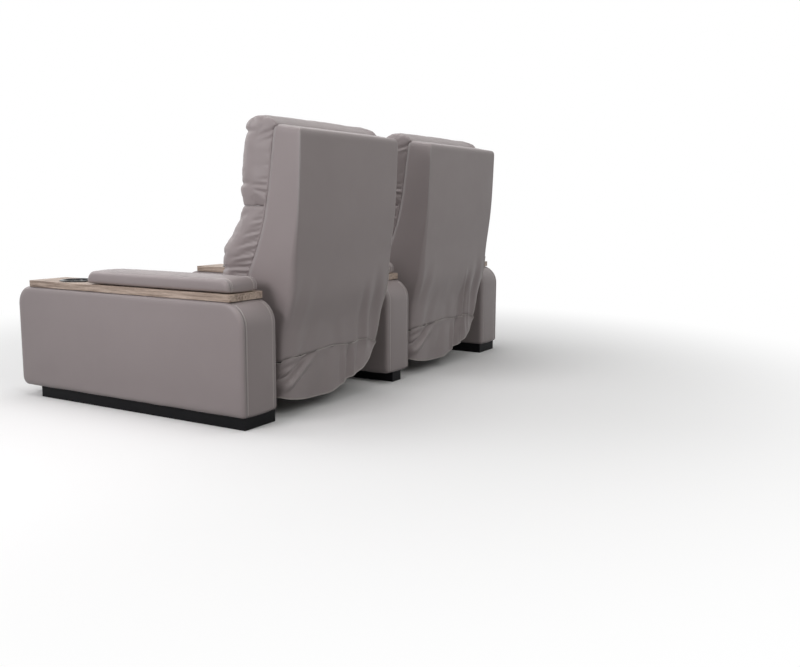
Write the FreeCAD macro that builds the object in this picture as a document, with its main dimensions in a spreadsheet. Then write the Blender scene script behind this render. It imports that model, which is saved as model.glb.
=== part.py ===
import FreeCAD
import Part
import math
import os
import re
import Sketcher

from FreeCAD import Placement, Rotation, Vector

# A two-seat cinema recliner: three upholstered arms on steel rails, two seats that slide
# forward while the back tips and the footrest swings out. Lengths are millimetres.
# The origin is on the floor under the middle of the centre arm, +Z is up, the seats face -Y
# and +X is the sitter's left.

# Driving sizes
SIZES = {
    # layout
    "seat_pitch": 816,
    "arm_width": 160,
    "arm_length": 1000,
    "arm_height": 344,
    # rails and beams on the floor
    "rail_height": 38,
    "rail_rear": 491,
    "rail_outer_inset": 14,
    "rail_bay_inset": 4,
    "centre_rail_width": 60,
    "rail_wall": 3,
    "anchor_spacing": 760,
    "anchor_radius": 5.5,
    "anchor_end": 35,
    "beam_depth": 40,
    "beam_height": 36,
    "beam_wall": 2.5,
    "front_beam_y": -300,
    "rear_beam_y": 200,
    "notch_clearance": 1,
    # arm upholstery
    "arm_rear_top_radius": 75,
    "arm_front_top_radius": 60,
    "arm_front_low_radius": 25,
    "arm_rear_low_radius": 12,
    "panel_edge": 12,
    "panel_crown": 22,
    "panel_draw": 16,
    # tray, cup holder and armrest pad on each arm
    "tray_thickness": 21,
    "tray_inset": 2,
    "tray_front": -440,
    "tray_rear": 452,
    "tray_corner": 9,
    "cup_position": -288,
    "cup_radius": 42,
    "cup_wall": 2.5,
    "cup_depth": 72,
    "cup_rim_radius": 57,
    "cup_rim_height": 5,
    "cup_fin": 4,
    "cup_clearance": 0.5,
    "rest_front": -160,
    "rest_rear": 440,
    "rest_inset": 8,
    "rest_gap": 3,
    "rest_side": 28,
    "rest_crown": 14,
    "rest_end_draw": 16,
    "rest_foot_radius": 15,
    # guides and seat frame
    "guide_inset": 25,
    "guide_width": 24,
    "guide_height": 16,
    "guide_front": -330,
    "guide_rear": 260,
    "running_gap": 0.3,
    "plate_thickness": 6,
    "plate_top": 196,
    "plate_front": -455,
    "plate_rear": 428,
    "foot_width": 24,
    "foot_height": 10,
    "foot_front": -320,
    "foot_rear": 330,
    "pin_clearance": 0.05,
    # seat deck and cushion
    "deck_front": -455,
    "deck_rear": 300,
    "deck_overhang": 4,
    "deck_thickness": 12,
    "soft_gap": 0.3,
    "cushion_gap": 8,
    "cushion_front": -500,
    "cushion_rear": 308,
    "cushion_side": 58,
    "cushion_crown": 24,
    "cushion_roll": 34,
    "cushion_draw": 14,
    # back pivot
    "back_pivot_y": 400,
    "back_pivot_z": 200,
    "back_shaft_radius": 10,
    "back_angle": 30,
    # back
    "back_gap": 41.5,
    "back_corner": 22,
    "board_thickness": 14,
    "board_inset": 12,
    "ear_radius": 19,
    "ear_width": 30,
    "skirt_thickness": 4,
    "skirt_drop": 148,
    "skirt_corner_drop": 28,
    "skirt_wave": 5,
    "pillow_overhang": 1,
    "pillow_draw": 20,
    # footrest
    "foot_pivot_y": -440,
    "foot_pivot_z": 180,
    "foot_shaft_radius": 8,
    "foot_arm_offset": 17,
    "foot_arm_thickness": 8,
    "foot_arm_hub": 14,
    "foot_arm_width": 20,
    "foot_arm_bottom": 40,
    "sleeve_thickness": 12,
    "sleeve_top": 168,
    "sleeve_bottom": 128,
    "foot_pad_front": -525,
    "foot_pad_rear": -470,
    "foot_pad_bottom": 30,
    "foot_pad_top": 190,
    "foot_pad_gap": 16,
    "foot_pad_crown": 13,
    "foot_board_thickness": 12,
    "foot_board_margin": 22,
    "foot_board_overhang": 4,
    # actuator under each seat
    "rod_radius": 10,
    "rod_height": 150,
    "rod_front": -290,
    "rod_rear": 100,
    "rod_clevis": 30,
    "tube_radius": 24,
    "tube_front": -40,
    "tube_rear": 130,
    "motor_radius": 30,
    "motor_length": 110,
    "motor_block": 62,
    "rod_clearance": 0.5,
    # power supply on the front beam under the left seat
    "supply_length": 150,
    "supply_width": 70,
    "supply_height": 40,
    "supply_offset": 100,
    # control panel on each right-hand arm
    "panel_y": -250,
    "panel_drop": 52,
    "panel_long": 84,
    "panel_tall": 34,
    "panel_proud": 6,
    "panel_radius": 6,
    "button_radius": 9,
    "button_spacing": 36,
    "button_proud": 2.5,
    "button_depth": 2,
    "button_gap": 0.3,
}

# Sizes that follow from the driving sizes and their clearances
DERIVED = {
    "seat_bay": "=seat_pitch - arm_width",
    "tray_width": "=arm_width - 2 * tray_inset",
    "rest_width": "=tray_width - 2 * rest_inset",
    "guide_spacing": "=seat_bay - 2 * guide_inset",
    "deck_width": "=guide_spacing + plate_thickness + 2 * deck_overhang",
    "cushion_width": "=seat_bay - 2 * cushion_gap",
    "back_width": "=seat_bay - 2 * back_gap",
    "foot_arm_spacing": "=guide_spacing - 2 * foot_arm_offset",
    "foot_pad_width": "=seat_bay - 2 * foot_pad_gap",
    "foot_board_width": "=foot_arm_spacing + 2 * foot_board_overhang",
    "panel_z": "=rail_height + arm_height - panel_drop",
    "rail_front": "=0 - anchor_spacing / 2 - anchor_end",
}

doc = FreeCAD.newDocument("cinema_recliner")
sheet = doc.addObject("Spreadsheet::Sheet", "Sizes")
for row, (alias, value) in enumerate({**SIZES, **DERIVED}.items(), start=1):
    sheet.set("A%d" % row, alias)
    sheet.set("B%d" % row, str(value))
    sheet.setAlias("B%d" % row, alias)
doc.recompute()

nodes = []


def size(alias):
    """A driving size, read back from the sheet."""
    return float(sheet.get(alias))


def bind(piece, prop, text):
    """Ties a property to the sheet: words with an underscore are the sheet's sizes."""
    piece.setExpression(prop, re.sub(r"\b([a-z]+(?:_[a-z]+)+)\b", r"Sizes.\1", text))


def place(piece, at):
    """Ties a piece's position to three expressions."""
    for axis, text in zip("xyz", at):
        bind(piece, "Placement.Base." + axis, text)


def node(piece, label):
    """Marks a finished sub-part, whose label is its file name."""
    piece.Label = label
    nodes.append(piece)
    return piece


def box(name, dims, at):
    """A box from three lengths and the place of its lowest corner."""
    piece = doc.addObject("Part::Box", name)
    for prop, text in zip(("Length", "Width", "Height"), dims):
        bind(piece, prop, text)
    place(piece, at)
    return piece


def cylinder(name, radius, length, at, axis="z"):
    """A cylinder along one axis from the middle of its first face."""
    piece = doc.addObject("Part::Cylinder", name)
    bind(piece, "Radius", radius)
    bind(piece, "Height", length)
    turns = {"x": Rotation(Vector(0, 1, 0), 90), "y": Rotation(Vector(1, 0, 0), -90), "z": Rotation()}
    piece.Placement = Placement(Vector(), turns[axis])
    place(piece, at)
    return piece


def fuse(name, pieces):
    """One solid from touching or overlapping pieces."""
    piece = doc.addObject("Part::MultiFuse", name)
    piece.Shapes = pieces
    piece.Refine = True
    return piece


def cut(name, base, tools):
    """The base less each tool in turn."""
    for count, tool in enumerate(tools, start=1):
        step = doc.addObject("Part::Cut", "%s_cut%d" % (name, count))
        step.Base = base
        step.Tool = tool
        base = step
    return base


def feature(name, shape, at=(0, 0, 0)):
    """A free form whose shape comes from the functions below, placed after its shape."""
    piece = doc.addObject("Part::Feature", name)
    piece.Shape = shape
    piece.Placement = Placement(Vector(*at), Rotation())
    return piece


def group(name, pieces):
    """Separate solids that belong to one sub-part."""
    piece = doc.addObject("Part::Compound", name)
    piece.Links = pieces
    return piece


def arc(start, middle, end):
    return Part.Arc(start, middle, end).toShape()


def line(start, end):
    return Part.LineSegment(start, end).toShape()


def rounded(points, radii, x=0):
    """A closed wire in a plane of constant X, with an arc at each corner of the (y, z) points."""
    corners = [Vector(x, y, z) for y, z in points]
    edges = []
    ends = []
    for i, corner in enumerate(corners):
        back = (corners[i - 1] - corner).normalize()
        ahead = (corners[(i + 1) % len(corners)] - corner).normalize()
        half = back.getAngle(ahead) / 2
        reach = radii[i] / math.tan(half)
        start = corner + back * reach
        end = corner + ahead * reach
        middle = corner + (back + ahead).normalize() * (radii[i] / math.sin(half) - radii[i])
        ends.append((start, middle, end))
    for i, (start, middle, end) in enumerate(ends):
        edges.append(arc(start, middle, end))
        edges.append(line(end, ends[(i + 1) % len(ends)][0]))
    return Part.Wire(edges)


def prism(wire, length):
    """The solid that a wire in a plane of constant X sweeps along X."""
    return Part.Face(wire).extrude(Vector(length, 0, 0))


def tube_block(name, dims, wall):
    """The outside and the inside of a closed steel box section."""
    outer = box(name + "_outer", dims, ("0", "0", "0"))
    inner_dims = tuple("%s - 2 * %s" % (text, wall) for text in dims)
    inner = box(name + "_inner", inner_dims, (wall, wall, wall))
    return outer, inner


# Base rails under the arms, closed steel sections, with anchor holes in the outer pair
def base_rail(label, left, width, anchored):
    depth = "rail_rear - rail_front"
    outer, inner = tube_block(label, (width, depth, "rail_height"), "rail_wall")
    tools = [inner]
    for end in (-1, 1) if anchored else ():
        spot = ("(%s) / 2" % width, "%d * anchor_spacing / 2 - rail_front" % end, "-rail_wall")
        tools.append(cylinder(label + "_anchor", "anchor_radius", "3 * rail_wall", spot))
    rail = cut(label, outer, tools)
    place(rail, (left, "rail_front", "0"))
    node(rail, label)


outer_rail_width = "arm_width - rail_outer_inset - rail_bay_inset"
outer_rail_left = "seat_pitch - arm_width / 2 + rail_bay_inset"
base_rail("base_rail_left", outer_rail_left, outer_rail_width, True)
base_rail("base_rail_centre", "-centre_rail_width / 2", "centre_rail_width", False)
base_rail("base_rail_right", "-(%s) - (%s)" % (outer_rail_left, outer_rail_width), outer_rail_width, True)


# Cross beams on the rails, which run through the feet of the arms
def cross_beam(label, middle):
    dims = ("2 * seat_pitch", "beam_depth", "beam_height")
    outer, inner = tube_block(label, dims, "beam_wall")
    beam = cut(label, outer, [inner])
    place(beam, ("-seat_pitch", "%s - beam_depth / 2" % middle, "rail_height"))
    node(beam, label)


cross_beam("front_beam", "front_beam_y")
cross_beam("rear_beam", "rear_beam_y")


def beam_notches(x, width):
    """Clearance around both beams where they run through an arm."""
    gap = size("notch_clearance")
    depth = size("beam_depth") + 2 * gap
    height = size("beam_height") + gap
    low = size("rail_height")
    notches = []
    for middle in (size("front_beam_y"), size("rear_beam_y")):
        corner = Vector(x, middle - depth / 2, low)
        notches.append(Part.makeBox(width, depth, height, corner))
    return notches


# Arms
ARM_RADII = [size("arm_front_low_radius"), size("arm_rear_low_radius"),
             size("arm_rear_top_radius"), size("arm_front_top_radius")]


def arm_outline(x, inset=0):
    """The side outline of an arm, drawn in by an inset."""
    low = size("rail_height") + inset
    high = size("rail_height") + size("arm_height") - inset
    end = size("arm_length") / 2 - inset
    points = [(-end, low), (end, low), (end, high), (-end, high)]
    radii = [max(radius - inset / 2, radius / 2) for radius in ARM_RADII]
    return rounded(points, radii, x)


def arm_panel(inner, side):
    """A padded side panel whose face crowns outwards from a drawn-in edge."""
    edge = inner + side * size("panel_edge")
    shoulder = inner + side * (size("panel_edge") + size("panel_crown")) / 2
    crown = inner + side * size("panel_crown")
    stations = [(inner, 0), (edge, 0), (shoulder, size("panel_draw") / 4), (crown, size("panel_draw"))]
    wires = [arm_outline(x, inset) for x, inset in stations]
    return Part.makeLoft(wires, True, True)


core_half = size("arm_width") / 2 - size("panel_crown")
tray_bottom = size("rail_height") + size("arm_height")
tray_top = tray_bottom + size("tray_thickness")

for index, arm_name in ((1, "left"), (0, "centre"), (-1, "right")):
    arm_x = index * size("seat_pitch")
    core = prism(arm_outline(-core_half), 2 * core_half)
    for notch in beam_notches(-core_half, 2 * core_half):
        core = core.cut(notch)
    cup_bore = size("cup_radius") + size("cup_clearance")
    bore_low = tray_top - size("cup_depth") - size("cup_clearance")
    bore = Part.makeCylinder(cup_bore, tray_top - bore_low, Vector(0, size("cup_position"), bore_low))
    node(feature("arm_core_" + arm_name, core.cut(bore), (arm_x, 0, 0)), "arm_core_" + arm_name)
    panels = []
    for side in (-1, 1):
        panel = arm_panel(side * core_half, side)
        if index * side <= 0:
            left = min(side * core_half, side * size("arm_width") / 2)
            for notch in beam_notches(left, size("panel_crown")):
                panel = panel.cut(notch)
        panels.append(panel)
    pair = Part.makeCompound(panels)
    node(feature("arm_panels_" + arm_name, pair, (arm_x, 0, 0)), "arm_panels_" + arm_name)


# Trays, one board on each arm with a hole for the cup holder
def tray(label, x):
    body = doc.addObject("PartDesign::Body", label)
    sketch = body.newObject("Sketcher::SketchObject", label + "_outline")
    planes = {plane.Role: plane for plane in body.Origin.OriginFeatures}
    sketch.AttachmentSupport = [(planes["XY_Plane"], "")]
    sketch.MapMode = "FlatFace"
    half = size("tray_width") / 2
    front = size("tray_front")
    rear = size("tray_rear")
    corners = [Vector(-half, front), Vector(half, front), Vector(half, rear), Vector(-half, rear)]
    for i in range(4):
        sketch.addGeometry(Part.LineSegment(corners[i], corners[(i + 1) % 4]), False)
    for i in range(4):
        sketch.addConstraint(Sketcher.Constraint("Coincident", i, 2, (i + 1) % 4, 1))
    for i, kind in enumerate(("Horizontal", "Vertical", "Horizontal", "Vertical")):
        sketch.addConstraint(Sketcher.Constraint(kind, i))
    hole = sketch.addGeometry(Part.Circle(Vector(0, size("cup_position")), Vector(0, 0, 1), 40), False)
    sizes = (
        ("half_left", Sketcher.Constraint("DistanceX", 0, 1, -1, 1, half), "tray_width / 2"),
        ("half_right", Sketcher.Constraint("DistanceX", -1, 1, 0, 2, half), "tray_width / 2"),
        ("front", Sketcher.Constraint("DistanceY", 0, 1, -1, 1, -front), "-tray_front"),
        ("rear", Sketcher.Constraint("DistanceY", -1, 1, 2, 1, rear), "tray_rear"),
        ("bore", Sketcher.Constraint("Radius", hole, 40), "cup_radius + cup_clearance"),
        ("bore_y", Sketcher.Constraint("DistanceY", hole, 3, -1, 1, 288), "-cup_position"),
    )
    sketch.addConstraint(Sketcher.Constraint("PointOnObject", hole, 3, -2))
    for name, constraint, text in sizes:
        sketch.renameConstraint(sketch.addConstraint(constraint), name)
        bind(sketch, "Constraints." + name, text)
    pad = body.newObject("PartDesign::Pad", label + "_board")
    pad.Profile = sketch
    bind(pad, "Length", "tray_thickness")
    doc.recompute()
    upright = ["Edge%d" % (i + 1) for i, edge in enumerate(pad.Shape.Edges)
               if edge.Curve.TypeId == "Part::GeomLine"
               and abs(edge.tangentAt(edge.FirstParameter).z) > 0.99]
    fillet = body.newObject("PartDesign::Fillet", label + "_corners")
    fillet.Base = (pad, upright)
    bind(fillet, "Radius", "tray_corner")
    place(body, (x, "0", "rail_height + arm_height"))
    node(body, label)


# Cup holders: a rim on the tray, a cup in the arm and three fins that grip the cup
def cup_holder(label, x):
    floor = "-cup_depth"
    inner = "cup_radius - cup_wall"
    rim = cylinder(label + "_rim", "cup_rim_radius", "cup_rim_height", ("0", "0", "0"))
    wall = cylinder(label + "_wall", "cup_radius", "cup_depth", ("0", "0", floor))
    shell = fuse(label + "_shell", [rim, wall])
    hollow = cylinder(label + "_hollow", inner, "cup_depth + cup_rim_height", ("0", "0", "cup_wall - cup_depth"))
    open_cup = cut(label, shell, [hollow])
    fins = []
    for turn in (90, 210, 330):
        fin = doc.addObject("Part::Box", label + "_fin")
        bind(fin, "Length", "cup_fin + cup_wall")
        bind(fin, "Width", "cup_fin")
        bind(fin, "Height", "cup_depth - 2 * cup_wall")
        reach = size("cup_radius") - size("cup_fin") - size("cup_wall") * 1.5
        way = Rotation(Vector(0, 0, 1), turn)
        spot = way.multVec(Vector(reach, -size("cup_fin") / 2, size("cup_wall") / 2 - size("cup_depth")))
        fin.Placement = Placement(spot, way)
        fins.append(fin)
    holder = fuse(label, [open_cup] + fins)
    place(holder, (x, "cup_position", "rail_height + arm_height + tray_thickness"))
    node(holder, label)


# Armrest pads: a crowned cushion with rounded ends, on three short feet
def rest_section(y, width, low, side, crown):
    half = width / 2
    seam = low + side
    points = [Vector(-half, y, low), Vector(half, y, low), Vector(half, y, seam), Vector(-half, y, seam)]
    top = Vector(0, y, seam + crown)
    return Part.Wire([line(points[0], points[1]), line(points[1], points[2]),
                      arc(points[2], top, points[3]), line(points[3], points[0])])


def armrest_pad(label, x):
    low = size("rest_gap")
    width = size("rest_width")
    front = size("rest_front")
    rear = size("rest_rear")
    draw = size("rest_end_draw")
    stations = []
    for step in (0, 0.25, 1, 3):
        share = min(step, 1)
        round_in = 2 * draw * (1 - math.sqrt(1 - (1 - share) ** 2))
        crown = size("rest_crown") * (0.35 + 0.65 * math.sqrt(min(step, 3) / 3))
        stations.append((step * draw, width - round_in, crown))
    wires = [rest_section(front + step, wide, low, size("rest_side"), crown) for step, wide, crown in stations]
    wires += [rest_section(rear - step, wide, low, size("rest_side"), crown)
              for step, wide, crown in reversed(stations)]
    solids = [Part.makeLoft(wires, True, True)]
    radius = size("rest_foot_radius")
    for share in (0.08, 0.5, 0.92):
        y = front + share * (rear - front)
        solids.append(Part.makeCylinder(radius, low, Vector(0, y, 0)))
    pad = feature(label, Part.makeCompound(solids), (x, 0, tray_top))
    node(pad, label)


for index, arm_name in ((1, "left"), (0, "centre"), (-1, "right")):
    spot = "%d * seat_pitch" % index
    tray("tray_" + arm_name, spot)
    cup_holder("cup_holder_" + arm_name, spot)
    armrest_pad("armrest_pad_" + arm_name, index * size("seat_pitch"))


# Guides on the beams: a pair of flat bars for each seat
def guide_rails(label, middle):
    bars = []
    for side in (-1, 1):
        left = "%s + %d * guide_spacing / 2 - guide_width / 2" % (middle, side)
        dims = ("guide_width", "guide_rear - guide_front", "guide_height")
        bars.append(box(label + "_bar", dims, (left, "guide_front", "rail_height + beam_height")))
    node(group(label, bars), label)


guide_top = size("rail_height") + size("beam_height") + size("guide_height")


# Side plates of the seat frame: each has a foot on its guide and the holes for both shafts
def side_plates(label, x):
    low = guide_top + size("running_gap")
    top = size("plate_top")
    front = size("plate_front")
    rear = size("plate_rear")
    pivot = Vector(0, size("back_pivot_y"), size("back_pivot_z"))
    foot_pivot = Vector(0, size("foot_pivot_y"), size("foot_pivot_z"))
    neck = pivot.y - (rear - pivot.y) - 20
    high = pivot.z + rear - pivot.y
    points = [(front, foot_pivot.z - 22), (foot_pivot.y + 60, low), (neck - 10, low), (rear, pivot.z - 40),
              (rear, high), (neck, high), (neck - 35, top), (front, top)]
    radii = [8, 12, 20, 15, 20, 18, 12, 8]
    solids = []
    for side in (-1, 1):
        middle = side * size("guide_spacing") / 2
        left = middle - size("plate_thickness") / 2
        plate = prism(rounded(points, radii, left), size("plate_thickness"))
        foot_size = (size("foot_width"), size("foot_rear") - size("foot_front"), size("foot_height"))
        corner = Vector(middle - size("foot_width") / 2, size("foot_front"), low)
        plate = plate.fuse(Part.makeBox(*foot_size, corner))
        for spot, radius in ((pivot, size("back_shaft_radius")), (foot_pivot, size("foot_shaft_radius"))):
            start = Vector(left, spot.y, spot.z)
            bore = Part.makeCylinder(radius, size("plate_thickness"), start, Vector(1, 0, 0))
            plate = plate.cut(bore)
        solids.append(plate.removeSplitter())
    node(feature(label, Part.makeCompound(solids), (x, 0, 0)), label)


# Shafts across the seat frame: they tie the side plates and carry the back and the footrest
def shaft(label, middle, radius, y, z):
    length = "guide_spacing + plate_thickness"
    start = "%s - (%s) / 2" % (middle, length)
    node(cylinder(label, radius, length, (start, y, z), "x"), label)


# Seat deck and its cushion, with a rolled front edge and drawn-in sides
def seat_deck(label, middle):
    dims = ("deck_width", "deck_rear - deck_front", "deck_thickness")
    node(box(label, dims, ("%s - deck_width / 2" % middle, "deck_front", "plate_top")), label)


def cushion_wire(x, share):
    low = size("plate_top") + size("deck_thickness") + size("soft_gap")
    side = low + size("cushion_side") - size("cushion_draw") * (1 - share)
    crown = size("cushion_crown") * share
    front = size("cushion_front") + size("cushion_draw") * (1 - share)
    rear = size("cushion_rear") - size("cushion_draw") * (1 - share)
    roll = size("cushion_roll")
    nose_low = Vector(x, front + 8, low)
    nose = Vector(x, front, low + 22)
    brow = Vector(x, front + roll, side + crown / 3)
    middle = Vector(x, (front + rear) / 2 - 60, side + crown)
    heel = Vector(x, rear, side)
    base = Vector(x, rear, low)
    shoulder = Vector(x, front + roll * 0.27, side - roll * 0.35)
    return Part.Wire([line(nose_low, nose), arc(nose, shoulder, brow), arc(brow, middle, heel),
                      line(heel, base), line(base, nose_low)])


def seat_cushion(label, x):
    half = size("cushion_width") / 2
    stations = [(-1, 0.15), (-0.93, 0.75), (-0.6, 1), (0.6, 1), (0.93, 0.75), (1, 0.15)]
    wires = [cushion_wire(share * half, fullness) for share, fullness in stations]
    node(feature(label, Part.makeLoft(wires, True, True), (x, 0, 0)), label)


# Back: the photographed side profile of the rear cover (points going down) and the front edge of
# the side panel (points going up)
BACK_REAR = [(566, 886), (562, 765), (554, 634), (538, 499), (526, 376), (506, 283), (499, 188)]
BACK_FRONT = [(482, 188), (430, 245), (390, 310), (358, 360), (356, 440), (390, 520), (419, 600),
              (440, 700), (453, 790), (467, 898)]
BOARD_LOW = 345
BOARD_HIGH = 880
LUMBAR_LOW = 362
LUMBAR_HIGH = 652
HEAD_LOW = 668


def depth_at(points, z):
    """The depth of an outline at a height, on straight lines between its points."""
    ordered = sorted(points, key=lambda point: point[1])
    for (y1, z1), (y2, z2) in zip(ordered, ordered[1:]):
        if z1 <= z <= z2:
            return y1 + (y2 - y1) * (z - z1) / (z2 - z1)
    return ordered[-1][0]


def board_face(low, high, ahead):
    """Points on the front edge between two heights, moved forward, from low to high."""
    heights = [low] + [z for _, z in BACK_FRONT if low < z < high] + [high]
    return [(depth_at(BACK_FRONT, z) - ahead, z) for z in heights]


def polyline(x, points):
    """Straight edges through (y, z) points in a plane of constant X."""
    spots = [Vector(x, y, z) for y, z in points]
    return [line(a, b) for a, b in zip(spots, spots[1:])]


def back_shell(label, x):
    half = size("back_width") / 2
    rear_curve = Part.BSplineCurve()
    rear_curve.interpolate([Vector(-half, y, z) for y, z in BACK_REAR])
    rear_top = Vector(-half, *BACK_REAR[0])
    front_top = Vector(-half, *BACK_FRONT[-1])
    top = (rear_top + front_top) / 2 + Vector(0, 0, 10)
    edges = [rear_curve.toShape()]
    edges += polyline(-half, [BACK_REAR[-1]] + BACK_FRONT)
    edges.append(arc(front_top, top, rear_top))
    solid = prism(Part.Wire(edges), size("back_width"))
    upright = [edge for edge in solid.Edges
               if edge.BoundBox.XLength < 0.1 and edge.BoundBox.ZLength > 600 and edge.BoundBox.YMin > front_top.y]
    node(feature(label, solid.makeFillet(size("back_corner"), upright), (x, 0, 0)), label)


# Back board: the plywood panel in front of the shell, with two ears on the back shaft
def back_board(label, x):
    half = size("back_width") / 2 - size("board_inset")
    rear = board_face(BOARD_LOW, BOARD_HIGH, 0)
    front = board_face(BOARD_LOW, BOARD_HIGH, size("board_thickness"))
    loop = front + rear[::-1]
    solids = [prism(Part.Wire(polyline(-half, loop + loop[:1])), 2 * half)]
    pivot = (size("back_pivot_y"), size("back_pivot_z"))
    ear = size("ear_radius")
    width = size("ear_width")
    foot_y, foot_z = rear[0]
    arm = [(pivot[0] - ear * 0.85, pivot[1] + 6), (pivot[0] + ear * 0.65, pivot[1] + 12),
           (foot_y - 4, foot_z + 6), (foot_y - size("board_thickness") - 8, foot_z + 6)]
    for side in (-1, 1):
        left = side * (half - width / 2) - width / 2
        start = Vector(left, *pivot)
        along = Vector(1, 0, 0)
        hub = Part.makeCylinder(ear, width, start, along)
        bar = prism(Part.Wire(polyline(left, arm + arm[:1])), width)
        bore_radius = size("back_shaft_radius") + size("pin_clearance")
        solids.append(hub.fuse(bar).cut(Part.makeCylinder(bore_radius, width, start, along)))
    whole = solids[0].fuse(solids[1:]).removeSplitter()
    node(feature(label, whole, (x, 0, 0)), label)


# Back skirt: the loose foot of the rear cover, which hangs in shallow folds with cut corners
def back_skirt(label, x):
    half = size("back_width") / 2 - 4
    top = BACK_REAR[-1][1]
    hem = top - size("skirt_drop")
    corner = hem + size("skirt_corner_drop") * 4
    rear = BACK_REAR[-1][0] - size("skirt_wave")
    folds = 7
    pitch = 2 * half / folds

    def wave(y, direction):
        edges = []
        for fold in range(folds) if direction > 0 else reversed(range(folds)):
            left = Vector(-half + fold * pitch, y, hem)
            right = Vector(-half + (fold + 1) * pitch, y, hem)
            swell = Vector(0, size("skirt_wave") * (-1) ** fold, 0)
            ends = (left, right) if direction > 0 else (right, left)
            edges.append(arc(ends[0], (left + right) / 2 + swell, ends[1]))
        return edges

    thick = size("skirt_thickness")
    near = wave(rear, 1)
    far = wave(rear - thick, -1)
    ends = [line(Vector(half, rear, hem), Vector(half, rear - thick, hem)),
            line(Vector(-half, rear - thick, hem), Vector(-half, rear, hem))]
    cloth = Part.Face(Part.Wire(near + ends[:1] + far + ends[1:])).extrude(Vector(0, 0, top - hem))
    for side in (-1, 1):
        reach = 150
        points = [Vector(side * (half + 5), rear - 40, corner), Vector(side * (half + 5), rear - 40, hem - 5),
                  Vector(side * (half - reach), rear - 40, hem - 5)]
        wedge = Part.Face(Part.makePolygon(points + points[:1])).extrude(Vector(0, 80, 0))
        cloth = cloth.cut(wedge)
    node(feature(label, cloth, (x, 0, 0)), label)


# Pillows: each is a side profile lofted across the back, fullest in the middle, drawn in at its sides.
# A profile is a chain of arcs (through, end) after its first point, on the front of the pillow.
PILLOW_CROWN = 0.05
HEAD_START = (467.5, 903)
HEAD_FRONT = [((424, 931), (372, 926)), ((350, 912), (341, 880)), ((331, 815), (322, 745)),
              ((320, 705), (329, 682)), ((338, 667), (350, 663))]
LUMBAR_START = (350, 657)
LUMBAR_FRONT = [((330, 650), (312, 624)), ((276, 578), (243, 528)), ((237, 490), (234, 440)),
                ((240, 370), (258, 322)), ((272, 292), (302, 285))]


def pillow_wire(x, fullness, start, chain, rear):
    """One section: the front drawn towards the rear points by the fullness."""
    def draw(point):
        y, z = point
        back = depth_at(rear, min(max(z, rear[0][1]), rear[-1][1]))
        return Vector(x, back - (back - y) * fullness, z)

    edges = []
    last = draw(start)
    first = last
    for through, end in chain:
        edges.append(arc(last, draw(through), draw(end)))
        last = draw(end)
    spots = [Vector(x, y, z) for y, z in rear]
    edges += [line(a, b) for a, b in zip([last] + spots, spots)]
    if (spots[-1] - first).Length > 0.01:
        edges.append(line(spots[-1], first))
    return Part.Wire(edges)


def pillow(label, x, start, chain, rear):
    half = size("back_width") / 2 + size("pillow_overhang")
    round_in = size("pillow_draw")
    stations = []
    for step in (0, 0.3, 1, 3.5, 8):
        rim = 0.16 * (1 - math.sqrt(1 - max(1 - step, 0) ** 2))
        stations.append((half - step * round_in, 1 - rim + PILLOW_CROWN * min(step, 8) / 8))
    stations.append((0, 1 + PILLOW_CROWN))
    shares = stations + [(-reach, fullness) for reach, fullness in reversed(stations[:-1])]
    wires = [pillow_wire(reach, fullness, start, chain, rear) for reach, fullness in shares]
    node(feature(label, Part.makeLoft(wires, True, True), (x, 0, 0)), label)


# Footrest: two arms on the front shaft, a board that slides along them, and its pad
def footrest_arms(label, x):
    pivot_y = size("foot_pivot_y")
    pivot_z = size("foot_pivot_z")
    thick = size("foot_arm_thickness")
    half_width = size("foot_arm_width") / 2
    low = size("foot_arm_bottom")
    along = Vector(1, 0, 0)
    bars = []
    for side in (-1, 1):
        left = side * size("foot_arm_spacing") / 2 - thick / 2
        hub = Part.makeCylinder(size("foot_arm_hub"), thick, Vector(left, pivot_y, pivot_z), along)
        bar = Part.makeBox(thick, 2 * half_width, pivot_z - low, Vector(left, pivot_y - half_width, low))
        bore_radius = size("foot_shaft_radius") + size("pin_clearance")
        bore = Part.makeCylinder(bore_radius, thick, Vector(left, pivot_y, pivot_z), along)
        bars.append(hub.fuse(bar).cut(bore).removeSplitter())
    node(feature(label, Part.makeCompound(bars), (x, 0, 0)), label)


def footrest_board(label, middle):
    width = "foot_board_width"
    height = "foot_pad_top - foot_pad_bottom - 2 * foot_board_margin"
    low = "foot_pad_bottom + foot_board_margin"
    front = "foot_pad_rear + soft_gap"
    pieces = [box(label + "_board", (width, "foot_board_thickness", height),
                  ("%s - %s / 2" % (middle, width), front, low))]
    inner = "foot_arm_spacing / 2 - foot_arm_thickness / 2 - running_gap"
    reach = "foot_pivot_y + foot_arm_width / 2 - foot_pad_rear - soft_gap"
    for side in (-1, 1):
        left = "%s - (%s)" % (middle, inner) if side < 0 else "%s + %s - sleeve_thickness" % (middle, inner)
        pieces.append(box(label + "_sleeve", ("sleeve_thickness", reach, "sleeve_top - sleeve_bottom"),
                          (left, front, "sleeve_bottom")))
    node(fuse(label, pieces), label)


def foot_wire(x, share):
    low = size("foot_pad_bottom") + 6 * (1 - share)
    high = size("foot_pad_top") - 6 * (1 - share)
    rear = size("foot_pad_rear")
    edge = size("foot_pad_front") + size("foot_pad_crown") + 10 * (1 - share)
    front = edge - size("foot_pad_crown") * share
    round_low = Vector(x, edge + 3, low + 3)
    round_high = Vector(x, edge + 3, high - 3)
    return Part.Wire([line(Vector(x, rear, low), Vector(x, edge + 12, low)),
                      arc(Vector(x, edge + 12, low), round_low, Vector(x, edge, low + 12)),
                      arc(Vector(x, edge, low + 12), Vector(x, front, (low + high) / 2), Vector(x, edge, high - 12)),
                      arc(Vector(x, edge, high - 12), round_high, Vector(x, edge + 12, high)),
                      line(Vector(x, edge + 12, high), Vector(x, rear, high)),
                      line(Vector(x, rear, high), Vector(x, rear, low))])


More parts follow.
